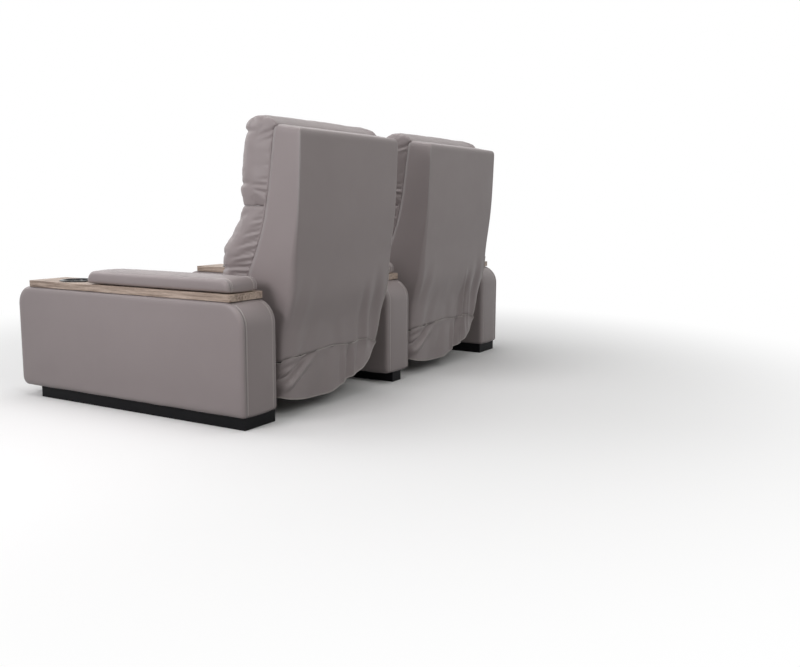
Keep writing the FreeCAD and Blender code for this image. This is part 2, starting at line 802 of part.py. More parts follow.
def footrest_pad(label, x):
    half = size("foot_pad_width") / 2
    stations = [(-1, 0.2), (-0.96, 0.7), (-0.85, 1), (0.85, 1), (0.96, 0.7), (1, 0.2)]
    wires = [foot_wire(share * half, fullness) for share, fullness in stations]
    node(feature(label, Part.makeLoft(wires, True, True), (x, 0, 0)), label)


# Actuator: a motor and outer tube on the rear beam, and a rod that pushes the seat deck
def actuator(motor_label, rod_label, middle):
    tube = cylinder(motor_label + "_tube", "tube_radius", "tube_rear - tube_front",
                    (middle, "tube_front", "rod_height"), "y")
    block_rear = "rear_beam_y + beam_depth / 2"
    block = box(motor_label + "_block",
                ("motor_block", "%s - tube_rear" % block_rear,
                 "rod_height + motor_block / 2 - rail_height - beam_height"),
                ("%s - motor_block / 2" % middle, "tube_rear", "rail_height + beam_height"))
    can = cylinder(motor_label + "_can", "motor_radius", "motor_length",
                   ("%s + motor_block / 2" % middle, "tube_rear + motor_radius + beam_depth / 4",
                    "rod_height - motor_block / 4"), "x")
    body = fuse(motor_label + "_body", [tube, block, can])
    bore = cylinder(motor_label + "_bore", "rod_radius + rod_clearance", "rod_rear - tube_front + rod_radius",
                    (middle, "tube_front", "rod_height"), "y")
    node(cut(motor_label, body, [bore]), motor_label)
    rod = cylinder(rod_label + "_bar", "rod_radius", "rod_rear - rod_front",
                   (middle, "rod_front", "rod_height"), "y")
    clevis = box(rod_label + "_clevis",
                 ("rod_clevis", "rod_clevis", "plate_top - rod_height + rod_clevis / 2"),
                 ("%s - rod_clevis / 2" % middle, "rod_front", "rod_height - rod_clevis / 2"))
    node(fuse(rod_label, [rod, clevis]), rod_label)


# Control panel on the right-hand arm of each seat, with two push buttons
def control_panel(label, x):
    long = size("panel_long") / 2
    tall = size("panel_tall") / 2
    y = size("panel_y")
    z = size("panel_z")
    points = [(y - long, z - tall), (y + long, z - tall), (y + long, z + tall), (y - long, z + tall)]
    plate = prism(rounded(points, [size("panel_radius")] * 4), size("panel_proud"))
    for side in (-1, 1):
        spot = Vector(0, y + side * size("button_spacing") / 2, z)
        hole = Part.makeCylinder(size("button_radius") + size("button_gap"), size("panel_proud"), spot,
                                 Vector(1, 0, 0))
        plate = plate.cut(hole)
    node(feature(label, plate, (x, 0, 0)), label)


def button(label, face, side):
    length = "panel_proud - button_depth + button_proud"
    at = ("%s + button_depth" % face, "panel_y + %d * button_spacing / 2" % side, "panel_z")
    node(cylinder(label, "button_radius", length, at, "x"), label)


def lumbar_rear():
    low = [(338, 285), (340, 352)]
    ahead = size("board_thickness") + size("soft_gap")
    return low + board_face(LUMBAR_LOW, LUMBAR_HIGH, ahead)


def head_rear():
    return board_face(HEAD_LOW, BOARD_HIGH, size("board_thickness") + size("soft_gap"))


for side, seat_name in ((1, "left"), (-1, "right")):
    seat_x = side * size("seat_pitch") / 2
    seat_middle = "%d * seat_pitch / 2" % side
    guide_rails("guide_rails_" + seat_name, seat_middle)
    side_plates("side_plates_" + seat_name, seat_x)
    shaft("back_shaft_" + seat_name, seat_middle, "back_shaft_radius", "back_pivot_y", "back_pivot_z")
    shaft("footrest_shaft_" + seat_name, seat_middle, "foot_shaft_radius", "foot_pivot_y", "foot_pivot_z")
    seat_deck("seat_deck_" + seat_name, seat_middle)
    seat_cushion("seat_cushion_" + seat_name, seat_x)
    back_shell("back_shell_" + seat_name, seat_x)
    back_board("back_board_" + seat_name, seat_x)
    back_skirt("back_skirt_" + seat_name, seat_x)
    pillow("head_pillow_" + seat_name, seat_x, HEAD_START, HEAD_FRONT, head_rear())
    pillow("lumbar_pillow_" + seat_name, seat_x, LUMBAR_START, LUMBAR_FRONT, lumbar_rear())
    footrest_arms("footrest_arms_" + seat_name, seat_x)
    footrest_board("footrest_board_" + seat_name, seat_middle)
    footrest_pad("footrest_pad_" + seat_name, seat_x)
    actuator("actuator_motor_" + seat_name, "actuator_rod_" + seat_name, seat_middle)
    face_x = seat_x - size("seat_pitch") / 2 + size("arm_width") / 2
    control_panel("control_panel_" + seat_name, face_x)
    face = "%s - seat_pitch / 2 + arm_width / 2" % seat_middle
    button("recline_button_" + seat_name, face, -1)
    button("raise_button_" + seat_name, face, 1)


# Power supply on the front beam under the left seat, with its cable gland
def power_supply(label):
    left = "seat_pitch / 2 - supply_offset - supply_length"
    case = box(label + "_case", ("supply_length", "supply_width", "supply_height"),
               (left, "front_beam_y - supply_width / 2", "rail_height + beam_height"))
    gland = cylinder(label + "_gland", "supply_height / 5", "supply_height / 2",
                     ("%s + supply_length / 2" % left, "front_beam_y + supply_width / 2",
                      "rail_height + beam_height + supply_height / 2"), "y")
    node(fuse(label, [case, gland]), label)


power_supply("power_supply")

# Checks before anything is written
doc.recompute()
for item in doc.Objects:
    if "Invalid" in item.State or "Error" in item.State:
        raise RuntimeError("%s did not compute: %s" % (item.Label, item.State))
for piece in nodes:
    if piece.Shape.isNull() or not piece.Shape.isValid():
        raise RuntimeError("%s has no valid shape" % piece.Label)
    if not piece.Shape.Solids or piece.Shape.Volume <= 0:
        raise RuntimeError("%s is not solid" % piece.Label)

os.makedirs("parts", exist_ok=True)
for piece in nodes:
    piece.Shape.exportStep("parts/%s.step" % piece.Label)
print("%d sub-parts written" % len(nodes))
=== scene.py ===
# %% [markdown]
# # A two-seat cinema recliner
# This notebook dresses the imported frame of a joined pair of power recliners. On the real seats
# nearly everything that shows is sewn leatherette over foam, so most cells below make a cover,
# its seams and its stitches. Each piece takes its place from the frame's own boxes, in metres.

# %% Load the frame
import math
import bpy
import bmesh
from mathutils import Matrix, Vector, noise


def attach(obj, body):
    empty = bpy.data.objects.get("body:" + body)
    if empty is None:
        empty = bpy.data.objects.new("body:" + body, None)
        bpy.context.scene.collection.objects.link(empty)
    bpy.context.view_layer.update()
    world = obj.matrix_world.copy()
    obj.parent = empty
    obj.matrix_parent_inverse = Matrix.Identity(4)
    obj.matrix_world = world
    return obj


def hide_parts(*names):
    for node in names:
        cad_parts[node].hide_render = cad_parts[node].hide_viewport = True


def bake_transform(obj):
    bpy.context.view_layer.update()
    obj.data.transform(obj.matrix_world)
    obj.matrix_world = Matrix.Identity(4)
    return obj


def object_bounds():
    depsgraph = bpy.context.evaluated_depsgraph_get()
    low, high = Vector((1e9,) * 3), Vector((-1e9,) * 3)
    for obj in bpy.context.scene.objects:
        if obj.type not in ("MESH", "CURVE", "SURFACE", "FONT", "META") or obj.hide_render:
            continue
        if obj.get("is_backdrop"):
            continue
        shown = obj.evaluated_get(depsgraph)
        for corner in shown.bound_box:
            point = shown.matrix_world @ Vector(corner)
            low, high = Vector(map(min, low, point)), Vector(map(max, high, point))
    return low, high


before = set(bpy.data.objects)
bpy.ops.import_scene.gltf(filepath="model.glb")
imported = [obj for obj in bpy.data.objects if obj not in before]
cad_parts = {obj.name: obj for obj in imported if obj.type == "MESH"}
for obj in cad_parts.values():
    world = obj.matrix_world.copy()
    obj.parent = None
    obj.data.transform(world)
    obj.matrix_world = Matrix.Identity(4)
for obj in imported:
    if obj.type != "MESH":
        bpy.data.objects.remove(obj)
cad_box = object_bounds()
print("frame size", [round(high - low, 3) for low, high in zip(*cad_box)])

# %% [markdown]
# ## The camera
# The photograph looks at the pair from behind, a little to the left side and slightly down.
# The camera comes first so that every later piece can be judged from the same place.

# %% Camera at the photograph's angle
AZIMUTH = math.radians(120.26)
LOOK_DOWN = math.radians(8.49)
ROLL = math.radians(0.31)
CAMERA_PLACE = Vector((2.8585, 2.1727, 0.6764))
camera_data = bpy.data.cameras.new("photo_camera")
camera_data.lens = 39.92
camera_data.sensor_width = 36.0
camera = bpy.data.objects.new("photo_camera", camera_data)
bpy.context.collection.objects.link(camera)
bpy.context.scene.camera = camera
back_way = Vector((math.sin(AZIMUTH) * math.cos(LOOK_DOWN), -math.cos(AZIMUTH) * math.cos(LOOK_DOWN),
                   math.sin(LOOK_DOWN)))
right_way = (-back_way).cross(Vector((0, 0, 1))).normalized()
up_way = right_way.cross(-back_way)
turn = Matrix((right_way, up_way, back_way)).transposed().to_4x4()
camera.matrix_world = Matrix.Translation(CAMERA_PLACE) @ turn @ Matrix.Rotation(ROLL, 4, "Z")
print("camera looks down", round(math.degrees(LOOK_DOWN), 1), "degrees")

# %% [markdown]
# ## Shader maths in plain Python
# Procedural materials are sums and products of patterns. A small class wraps a socket so that
# `1 - mask` or `grain * 0.4` adds the Math node by itself, and one method adds any other node.

# %% Shader helper
class Sock:
    """A shader socket that takes part in Python sums."""

    def __init__(self, paint, socket):
        self.paint = paint
        self.socket = socket

    def _math(self, operation, first, second=None):
        inputs = {0: first} if second is None else {0: first, 1: second}
        return self.paint.add("ShaderNodeMath", {"operation": operation}, inputs)["Value"]

    def __add__(self, other):
        return self._math("ADD", self, other)

    def __sub__(self, other):
        return self._math("SUBTRACT", self, other)

    def __mul__(self, other):
        return self._math("MULTIPLY", self, other)

    def __radd__(self, other):
        return self._math("ADD", other, self)

    def __rsub__(self, other):
        return self._math("SUBTRACT", other, self)

    def __rmul__(self, other):
        return self._math("MULTIPLY", other, self)

    def clamped(self):
        return self.paint.add("ShaderNodeClamp", {}, {0: self})["Result"]


class Paint:
    def __init__(self, name):
        self.material = bpy.data.materials.new(name)
        self.material.use_nodes = True
        self.tree = self.material.node_tree
        self.surface = self.tree.nodes["Principled BSDF"]
        self.place = self.add("ShaderNodeTexCoord")["Object"]

    def add(self, kind, settings=None, inputs=None):
        node = self.tree.nodes.new(kind)
        for key, value in (settings or {}).items():
            if key == "stops":
                ramp = node.color_ramp
                while len(ramp.elements) < len(value):
                    ramp.elements.new(0.5)
                for element, (position, colour) in zip(ramp.elements, value):
                    element.position = position
                    element.color = (*colour, 1)
            else:
                setattr(node, key, value)
        for key, value in (inputs or {}).items():
            if isinstance(value, Sock):
                self.tree.links.new(value.socket, node.inputs[key])
            else:
                node.inputs[key].default_value = value
        return {out.name: Sock(self, out) for out in node.outputs}

    def scaled(self, scale, turn=(0, 0, 0)):
        """The piece's own coordinates, stretched and turned for a pattern."""
        sockets = {"Vector": self.place, "Scale": scale, "Rotation": turn}
        return self.add("ShaderNodeMapping", {}, sockets)["Vector"]

    def noise(self, scale, detail=3.0, roughness=0.5, stretch=(1, 1, 1)):
        found = self.add("ShaderNodeTexNoise", {}, {"Vector": self.scaled(stretch), "Scale": scale,
                                                    "Detail": detail, "Roughness": roughness})
        return found["Fac"] if "Fac" in found else found["Factor"]

    def blend(self, factor, first, second):
        """A colour between two others."""
        node = self.tree.nodes.new("ShaderNodeMix")
        node.data_type = "RGBA"
        self.tree.links.new(factor.socket, node.inputs["Factor"])
        for slot, value in ((6, first), (7, second)):
            if isinstance(value, Sock):
                self.tree.links.new(value.socket, node.inputs[slot])
            else:
                node.inputs[slot].default_value = (*value, 1)
        return Sock(self, node.outputs[2])

    def bump(self, height, distance, strength=1.0, onto=None):
        inputs = {"Height": height, "Distance": distance, "Strength": strength}
        if onto is not None:
            inputs["Normal"] = onto
        return self.add("ShaderNodeBump", {}, inputs)["Normal"]

    def finish(self, **sockets):
        for key, value in sockets.items():
            name = key.replace("_", " ")
            if isinstance(value, Sock):
                self.tree.links.new(value.socket, self.surface.inputs[name])
            elif isinstance(value, tuple):
                self.surface.inputs[name].default_value = (*value, 1)
            else:
                self.surface.inputs[name].default_value = value
        return self.material


# %% [markdown]
# ## Leatherette
# The covers are coated cloth in a warm grey: nearly even colour, a fine pebble grain about a
# millimetre across, slow changes of gloss where hands and the cutting table have rubbed it, and a
# slight rise and fall where it is stretched over foam. Colour stays close to one value, because
# the real sheet is dyed through; the grain lives in the bump.

# %% Leatherette material
def leatherette(name, colour, puckers=0.0):
    paint = Paint(name)
    cloud = paint.noise(5.0, 3, 0.6)
    fleck = paint.noise(900.0, 2, 0.5)
    rub = paint.noise(22.0, 4, 0.6)
    cells = paint.add("ShaderNodeTexVoronoi", {"feature": "SMOOTH_F1"},
                      {"Vector": paint.scaled((1, 1, 1)), "Scale": 850.0, "Smoothness": 0.6})["Distance"]
    pores = paint.noise(1500.0, 2, 0.6)
    ease = paint.noise(9.0, 2, 0.45)
    tint = (cloud * 0.75 + fleck * 0.25).clamped()
    darker = tuple(part * 0.93 for part in colour)
    lighter = tuple(min(part * 1.06, 1) for part in colour)
    shade = paint.blend(tint, darker, lighter)
    # Painted light from each piece's per-vertex value: above 0 blends towards a paler painted highlight,
    # below 0 towards a dark painted shade.
    painted_light_level = paint.add("ShaderNodeAttribute", {"attribute_name": "wear"})["Fac"]
    shade = paint.blend(painted_light_level.clamped(), shade, tuple(part * 0.45 + 0.30 for part in colour))
    shade = paint.blend((painted_light_level * -1).clamped(), shade, tuple(part * 0.22 for part in colour))
    roughness = 0.46 + (rub - 0.5) * 0.16 + (cells - 0.4) * 0.10
    grain = paint.bump((cells * 0.7 + pores * 0.3).clamped(), 0.00022, 0.55)
    normal = paint.bump(ease, 0.0035, 0.35 + puckers, grain)
    return paint.finish(Base_Color=shade, Roughness=roughness.clamped(), Normal=normal, Sheen_Weight=0.08,
                        Sheen_Roughness=0.5, Specular_IOR_Level=0.42)


TAUPE = (0.305, 0.264, 0.264)
cover = leatherette("taupe_leatherette", TAUPE)
cover_soft = leatherette("taupe_leatherette_soft", TAUPE, 0.2)


# %% [markdown]
# ## Oak laminate, plastic, steel and thread
# The trays are pale greyed oak board: long streaks along the tray, with short dark pores. At the
# sawn ends the same streaks turn into dots and ticks without any extra work, because the pattern is
# solid and only stretched along Y. Moulded and painted parts need less: a slow change of gloss and
# a fine surface, so that highlights break up the way they do on real mouldings.

# %% Oak laminate
OAK_STOPS = ((0.36, (0.16, 0.115, 0.09)), (0.46, (0.36, 0.275, 0.22)), (0.55, (0.50, 0.395, 0.325)),
             (0.68, (0.64, 0.53, 0.45)))


def oak(name):
    paint = Paint(name)
    wander = paint.noise(3.0, 2, 0.5)
    sideways = paint.add("ShaderNodeCombineXYZ", {}, {0: wander})["Vector"]
    drift = paint.add("ShaderNodeVectorMath", {"operation": "SCALE"}, {0: sideways, "Scale": 0.03})["Vector"]
    base = paint.add("ShaderNodeVectorMath", {"operation": "ADD"}, {0: paint.place, 1: drift})["Vector"]
    along = paint.add("ShaderNodeMapping", {}, {"Vector": base, "Scale": (1, 0.045, 1.0)})["Vector"]
    rings = paint.add("ShaderNodeTexNoise", {}, {"Vector": along, "Scale": 130.0, "Detail": 5.0,
                                                 "Roughness": 0.68})
    streak = rings["Fac"] if "Fac" in rings else rings["Factor"]
    pores = paint.noise(1100.0, 2, 0.6, (1, 0.04, 1))
    wide = paint.noise(14.0, 2, 0.5, (1, 0.12, 1))
    colour = paint.add("ShaderNodeValToRGB", {"stops": OAK_STOPS},
                       {"Fac": (streak * 0.8 + wide * 0.2).clamped()})["Color"]
    dark = ((0.42 - pores) * 7.0).clamped()
    shade = paint.blend(dark * 0.75, colour, (0.17, 0.12, 0.09))
    normal = paint.bump((streak * 0.5 + pores * 0.5).clamped(), 0.00016, 0.5)
    return paint.finish(Base_Color=shade, Roughness=0.50 + (streak - 0.5) * 0.12, Normal=normal)


tray_oak = oak("oak_laminate")


# %% Plastic, paint, steel and plywood
def moulded(name, colour, roughness, metallic=0.0, grain=900.0, depth=0.00005, shine=0.5):
    """A moulded, painted or ground surface; grain is per metre, depth in metres."""
    paint = Paint(name)
    rub = paint.noise(30.0, 4, 0.6)
    skin = paint.noise(grain, 2, 0.5)
    shade = paint.blend(paint.noise(12.0, 3, 0.5), colour, tuple(part * 1.18 + 0.002 for part in colour))
    gloss = (roughness + (rub - 0.5) * 0.14 + (skin - 0.5) * 0.05).clamped()
    return paint.finish(Base_Color=shade, Roughness=gloss, Metallic=metallic, Specular_IOR_Level=shine,
                        Normal=paint.bump(skin, depth, 0.4))


gloss_black = moulded("polished_black_plastic", (0.008, 0.008, 0.009), 0.20, shine=0.35)
matte_black = moulded("black_motor_plastic", (0.022, 0.022, 0.023), 0.5, grain=500.0, depth=0.00012)
black_steel = moulded("black_powder_coat", (0.005, 0.005, 0.006), 0.55, grain=650.0, depth=0.00018,
                      shine=0.12)
bright_steel = moulded("ground_steel", (0.52, 0.53, 0.54), 0.3, 1.0, 400.0)
key_grey = moulded("grey_key_plastic", (0.28, 0.28, 0.29), 0.38)
thread = moulded("pale_thread", (0.66, 0.62, 0.60), 0.62, grain=2500.0, depth=0.0001)
cord_trim = leatherette("pale_edge_piping", (0.44, 0.405, 0.39))


def plywood(name):
    paint = Paint(name)
    sheet = paint.noise(24.0, 5, 0.6, (1, 0.1, 1))
    ply = paint.add("ShaderNodeTexWave", {"wave_type": "BANDS", "bands_direction": "Z"},
                    {"Vector": paint.place, "Scale": 110.0, "Distortion": 0.6, "Detail": 1.0})
    layers = ply["Fac"] if "Fac" in ply else ply["Factor"]
    shade = paint.blend((sheet * 0.7 + layers * 0.3).clamped(), (0.50, 0.36, 0.22), (0.70, 0.55, 0.37))
    return paint.finish(Base_Color=shade, Roughness=0.62 + (sheet - 0.5) * 0.2,
                        Normal=paint.bump(sheet, 0.0002, 0.4))


birch = plywood("birch_plywood")
CARRIED = {
    black_steel: ("base_rail", "front_beam", "rear_beam", "side_plates", "footrest_arms"),
    bright_steel: ("guide_rails", "back_shaft", "footrest_shaft", "actuator_rod"),
    matte_black: ("actuator_motor", "power_supply"),
    birch: ("seat_deck", "back_board", "footrest_board"),
    tray_oak: ("tray",),
    gloss_black: ("control_panel",),
    key_grey: ("recline_button", "raise_button"),
}
for node_name, node_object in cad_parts.items():
    for finish, families in CARRIED.items():
        if node_name.startswith(families):
            node_object.data.materials.clear()
            node_object.data.materials.append(finish)
print(len(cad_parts), "frame nodes have their finish")

# %% [markdown]
# ## Helpers for pieces
# Every piece is handed over the same way: its normals face out, it is linked at the origin, it
# rides on its body and takes its finish. A cover starts as a grid whose vertices are then laid
# on the form, row by row, which is how a sheet is fitted over a frame. A piece can also carry a
# painted-light value per vertex that its material reads: above 0 is a painted highlight where
# folded edges and corners catch the light, below 0 is painted shade where seams lie in shadow.

# %% Small number helpers
MM = 0.001


def mix(a, b, share):
    return a + (b - a) * share


def ease(value, low, high):
    """0 below low, 1 above high, and a smooth step between."""
    share = min(max((value - low) / (high - low), 0), 1)
    return share * share * (3 - 2 * share)


def bell(value, width):
    return math.exp(-(value / width) ** 2)


def flowing(points, key):
    """The value at a key on a smooth curve through (key, value) points."""
    last = len(points) - 1
    key = min(max(key, points[0][0]), points[-1][0])
    index = next((i for i in range(last) if key <= points[i + 1][0]), last - 1)
    (k1, v1), (k2, v2) = points[index], points[index + 1]
    before = points[max(index - 1, 0)]
    after = points[min(index + 2, last)]
    span = k2 - k1
    slope1 = (v2 - before[1]) / (k2 - before[0]) * span
    slope2 = (after[1] - v1) / (after[0] - k1) * span
    t = (key - k1) / span
    return ((2 * t ** 3 - 3 * t * t + 1) * v1 + (t ** 3 - 2 * t * t + t) * slope1
            + (3 * t * t - 2 * t ** 3) * v2 + (t ** 3 - t * t) * slope2)


print("half way from 2 to 4 is", mix(2, 4, 0.5))


# %% Hand over a finished mesh
def hand_over(name, bm, finish, body, stands_for=(), wear=None, smooth=True):
    """Makes the object from a bmesh, with its body and finish, and hides the frame nodes it stands for. A
    piece given no body gets no parent.
    """
    bmesh.ops.recalc_face_normals(bm, faces=bm.faces)
    for face in bm.faces:
        face.smooth = smooth
    # Painted light per vertex, read by the leatherette: above 0 a painted highlight, below 0 painted shade.
    if wear:
        layer = bm.verts.layers.float.new("wear")
        for vert in bm.verts:
            vert[layer] = min(max(wear(vert.co), -1), 1)
    mesh = bpy.data.meshes.new(name)
    bm.to_mesh(mesh)
    bm.free()
    piece = bpy.data.objects.new(name, mesh)
    bpy.context.collection.objects.link(piece)
    mesh.materials.append(finish)
    if body:
        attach(piece, body)
    if stands_for:
        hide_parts(*stands_for)
    return piece


def wrap(bm, columns, rows, lay):
    """A grid of columns by rows, each vertex laid at lay(u, v) with u and v from 0 to 1."""
    made = bmesh.ops.create_grid(bm, x_segments=columns, y_segments=rows, size=0.5)["verts"]
    for vert in made:
        vert.co = lay(vert.co.x + 0.5, vert.co.y + 0.5)
    return made


def close_up(bm, made, gap):
    """Welds a wrapped grid's meeting edges and fills the open ends."""
    bmesh.ops.remove_doubles(bm, verts=made, dist=gap)
    open_edges = [edge for edge in bm.edges if edge.is_boundary]
    bmesh.ops.holes_fill(bm, edges=open_edges, sides=0)


# %% Stitches and piping
def spaced(path, pitch):
    """(point, direction) pairs at an even pitch along a polyline."""
    found = []
    left_over = pitch / 2
    for start, end in zip(path, path[1:]):
        step = (end - start).length
        while left_over <= step and step > 0:
            found.append((start.lerp(end, left_over / step), (end - start) / step))
            left_over += pitch
        left_over -= step
    return found


def stitch_row(bm, path, pitch=6.2 * MM, length=4.6 * MM, width=1.6 * MM):
    """Short rounded stitches laid along a path."""
    for spot, direction in spaced(path, pitch):
        turn = direction.to_track_quat("X", "Z").to_matrix().to_4x4()
        grow = Matrix.Diagonal((length / 2, width / 2, width / 2, 1))
        place = Matrix.Translation(spot) @ turn @ grow
        bmesh.ops.create_icosphere(bm, subdivisions=1, radius=1, matrix=place)


def tube(bm, path, radius, sides=8):
    """Piping along a path, closed at both ends."""
    rings = []
    side_way = (path[1] - path[0]).orthogonal().normalized()
    for index, spot in enumerate(path):
        ahead = (path[min(index + 1, len(path) - 1)] - path[max(index - 1, 0)]).normalized()
        side_way = (side_way - ahead * side_way.dot(ahead)).normalized()
        rings.append((spot, side_way.copy(), ahead.cross(side_way)))

    def lay(u, v):
        spot, first, second = rings[round(v * (len(rings) - 1))]
        angle = 2 * math.pi * u
        return spot + (first * math.cos(angle) + second * math.sin(angle)) * radius

    close_up(bm, wrap(bm, sides, len(rings) - 1, lay), radius * 0.05)


print("one metre takes", len(spaced([Vector((0, 0, 0)), Vector((1, 0, 0))], 4.6 * MM)), "stitches")

# %% [markdown]
# ## Boxed upholstery: the arms
# Each arm is a padded box: one long band runs over the top and down both ends, and a domed panel
# closes each side. Between them is a sewn seam with a row of topstitching on the band. The cover is
# wrapped round the box's outline, with its ring drawn in at each station across the arm: a slight
# crown on the band, a pinch at the stitches, a groove at the seam and a long roll into the panel.

# %% Boxed block
def outline(low, high, radii, inset, steps=9, spacing=0.02):
    """Points round a box in (Y, Z) with its own corner radii, drawn in by an inset."""
    (y0, z0), (y1, z1) = low, high
    corners = ((y1, z0, radii[0], -90), (y1, z1, radii[1], 0), (y0, z1, radii[2], 90),
               (y0, z0, radii[3], 180))
    arcs = []
    for y, z, radius, start in corners:
        middle = Vector((y - radius if y == y1 else y + radius, z - radius if z == z1 else z + radius))
        angles = [math.radians(start + 90 * step / steps) for step in range(steps + 1)]
        arcs.append([middle + Vector((math.cos(a), math.sin(a))) * radius for a in angles])
    points = []
    for here, following in zip(arcs, arcs[1:] + arcs[:1]):
        points += here
        count = max(2, round((following[0] - here[-1]).length / spacing))
        points += [here[-1].lerp(following[0], step / count) for step in range(1, count)]
    middle_y, middle_z = (y0 + y1) / 2, (z0 + z1) / 2
    drawn = []
    for point in points:
        share_y = 1 - inset / ((y1 - y0) / 2)
        share_z = 1 - inset / ((z1 - z0) / 2)
        drawn.append(Vector((mix(middle_y, point.x, share_y), mix(middle_z, point.y, share_z))))
    return drawn


def boxed_block(middle, low, high, radii, section, swell, cell=0.025):
    """A cover round a box: section gives (distance from the middle, inset) from side to side."""
    bm = bmesh.new()
    rings = [outline(low, high, radii, inset) for _, inset in section]
    around = len(rings[0])

    def lay(u, v):
        station = round(v * (len(section) - 1))
        spot = rings[station][round(u * around) % around]
        return Vector((middle + section[station][0], spot.x, spot.y))

    close_up(bm, wrap(bm, around, len(section) - 1, lay), 1e-5)
    reach = max(x for x, _ in section)
    for axis, (start, end) in ((1, (low[0], high[0])), (2, (low[1], high[1]))):
        count = round((end - start) / cell)
        way = Vector((0, axis == 1, axis == 2))
        for step in range(1, count):
            cut = [f for f in bm.faces if all(abs(abs(v.co.x - middle) - reach) < 1e-6 for v in f.verts)]
            cut += list({e for f in cut for e in f.edges}) + list({v for f in cut for v in f.verts})
            bmesh.ops.bisect_plane(bm, geom=cut, plane_co=way * mix(start, end, step / count), plane_no=way)
    bm.normal_update()
    for vert in bm.verts:
        vert.co = swell(vert.co.copy())
    return bm


BAND = ((0, -1.2), (20, -1.1), (38, -0.8), (50, -0.3), (56, 0.2), (58.6, 0.8), (59.5, 1.2), (60.4, 0.8),
        (62.4, -0.1), (64.2, -0.1), (65.2, 0.5), (65.9, 1.6), (66.4, 2.9), (67.1, 1.5), (68.2, 0.4),
        (70.5, 0.2), (73, 1.0), (75.6, 3.0), (77.8, 6.2), (79.2, 10.5), (80, 16))


def both_ways(half):
    """A section mirrored about the middle, in metres."""
    whole = [(-x, inset) for x, inset in reversed(half) if x > 0] + list(half)
    return [(x * MM, inset * MM) for x, inset in whole]


def arm_swell(middle, low, high):
    """Foam under the panels: a low dome, slow waves and small puckers along the seams."""
    def move(spot):
        off = spot.x - middle
        side = math.copysign(1, off)
        edge = min(spot.y - low[0], high[0] - spot.y, spot.z - low[1], high[1] - spot.z)
        slow = noise.noise(Vector((spot.x * 9, spot.y * 5, spot.z * 6)))
        quick = noise.noise(Vector((spot.x * 12, spot.y * 26, spot.z * 26)))
        if abs(off) > 79.5 * MM:
            spot.x += side * (1.6 * MM * ease(edge, 0.02, 0.11) + 0.9 * MM * slow)
        pucker = bell(abs(off) - 66 * MM, 9 * MM) * 0.5 * MM * quick
        spot.y += pucker * (1 if spot.y > 0 else -1)
        spot.z += pucker
        if spot.z < low[1] + 0.03:
            sag = 1 - ease(spot.z, low[1], low[1] + 0.03)
            spot.z += sag * 1.8 * MM * noise.noise(Vector((spot.x * 3, spot.y * 14, 0.5)))
        return spot
    return move


def band_shade_and_highlight(middle, inner, seam, outer):
    """Paints shade on the seam, which lies in its own shadow, and a painted highlight on the folded edges on
    both sides of it.
    """
    def shade(spot):
        off = abs(spot.x - middle)
        return (-0.9 * bell(off - seam * MM, 0.7 * MM) + 0.55 * bell(off - inner * MM, 1.1 * MM)
                + 0.35 * bell(off - outer * MM, 1.3 * MM))
    return shade


SEATS = {"left": 0.408, "right": -0.408}
ARMS = {"left": 0.816, "centre": 0.0, "right": -0.816}
ARM_LOW, ARM_HIGH = (-0.5, 0.038), (0.5, 0.382)
ARM_RADII = (12 * MM, 75 * MM, 60 * MM, 25 * MM)
for arm_name, middle in ARMS.items():
    bm = boxed_block(middle, ARM_LOW, ARM_HIGH, ARM_RADII, both_ways(BAND),
                     arm_swell(middle, ARM_LOW, ARM_HIGH))
    piece = hand_over("arm_cover_" + arm_name, bm, cover, "base",
                      ("arm_core_" + arm_name, "arm_panels_" + arm_name),
                      band_shade_and_highlight(middle, 64.2, 66.4, 69.2))
    print(piece.name, len(piece.data.polygons), "faces")

# %% Topstitching on the arm bands
bm = bmesh.new()
for middle in ARMS.values():
    ring = outline(ARM_LOW, ARM_HIGH, ARM_RADII, 0.9 * MM, 16)
    for side in (-1, 1):
        path = [Vector((middle + side * 59.5 * MM, spot.x, spot.y)) for spot in ring]
        rear = [spot for spot in path if spot.y > 0.456 and spot.z > 0.046]
        front = [spot for spot in path if spot.y < -0.441 and spot.z > 0.054]
        stitch_row(bm, rear)
        stitch_row(bm, front)
stitches = hand_over("arm_topstitching", bm, thread, "base")
print(len(stitches.data.polygons) // 20, "stitches on the arms")

# %% [markdown]
# ## Armrest pads
# The pads that float on each tray are made like the arms: a band over the top and both ends, and a
# thin panel on each side. They stand on three small round feet, which leave a dark line below.

# %% Armrest pads and their feet
PAD_ROLL = ((0, -1.6), (16, -1.5), (32, -1.0), (42, -0.4), (46, 0.3), (47, 0.8), (48, 0.3), (51, -0.2),
            (54, 0.0), (55.6, 0.6), (56.4, 1.6), (57, 2.4), (57.7, 1.4), (59, 0.4), (61, 0.3), (63.4, 1.2),
            (66.4, 3.4), (68.8, 7), (70, 12))
PAD_LOW, PAD_HIGH = (-0.16, 0.4065), (0.44, 0.447)
PAD_RADII = (5 * MM, 27 * MM, 30 * MM, 5 * MM)


def pad_swell(middle):
    def move(spot):
        off = abs(spot.x - middle)
        if spot.z > 0.43 and off < 57 * MM:
            spot.z += 1.2 * MM * ease(spot.y, -0.15, -0.05) * (1 - ease(spot.y, 0.33, 0.43))
        spot.z += 0.4 * MM * noise.noise(Vector((spot.x * 20, spot.y * 9, 3)))
        return spot
    return move


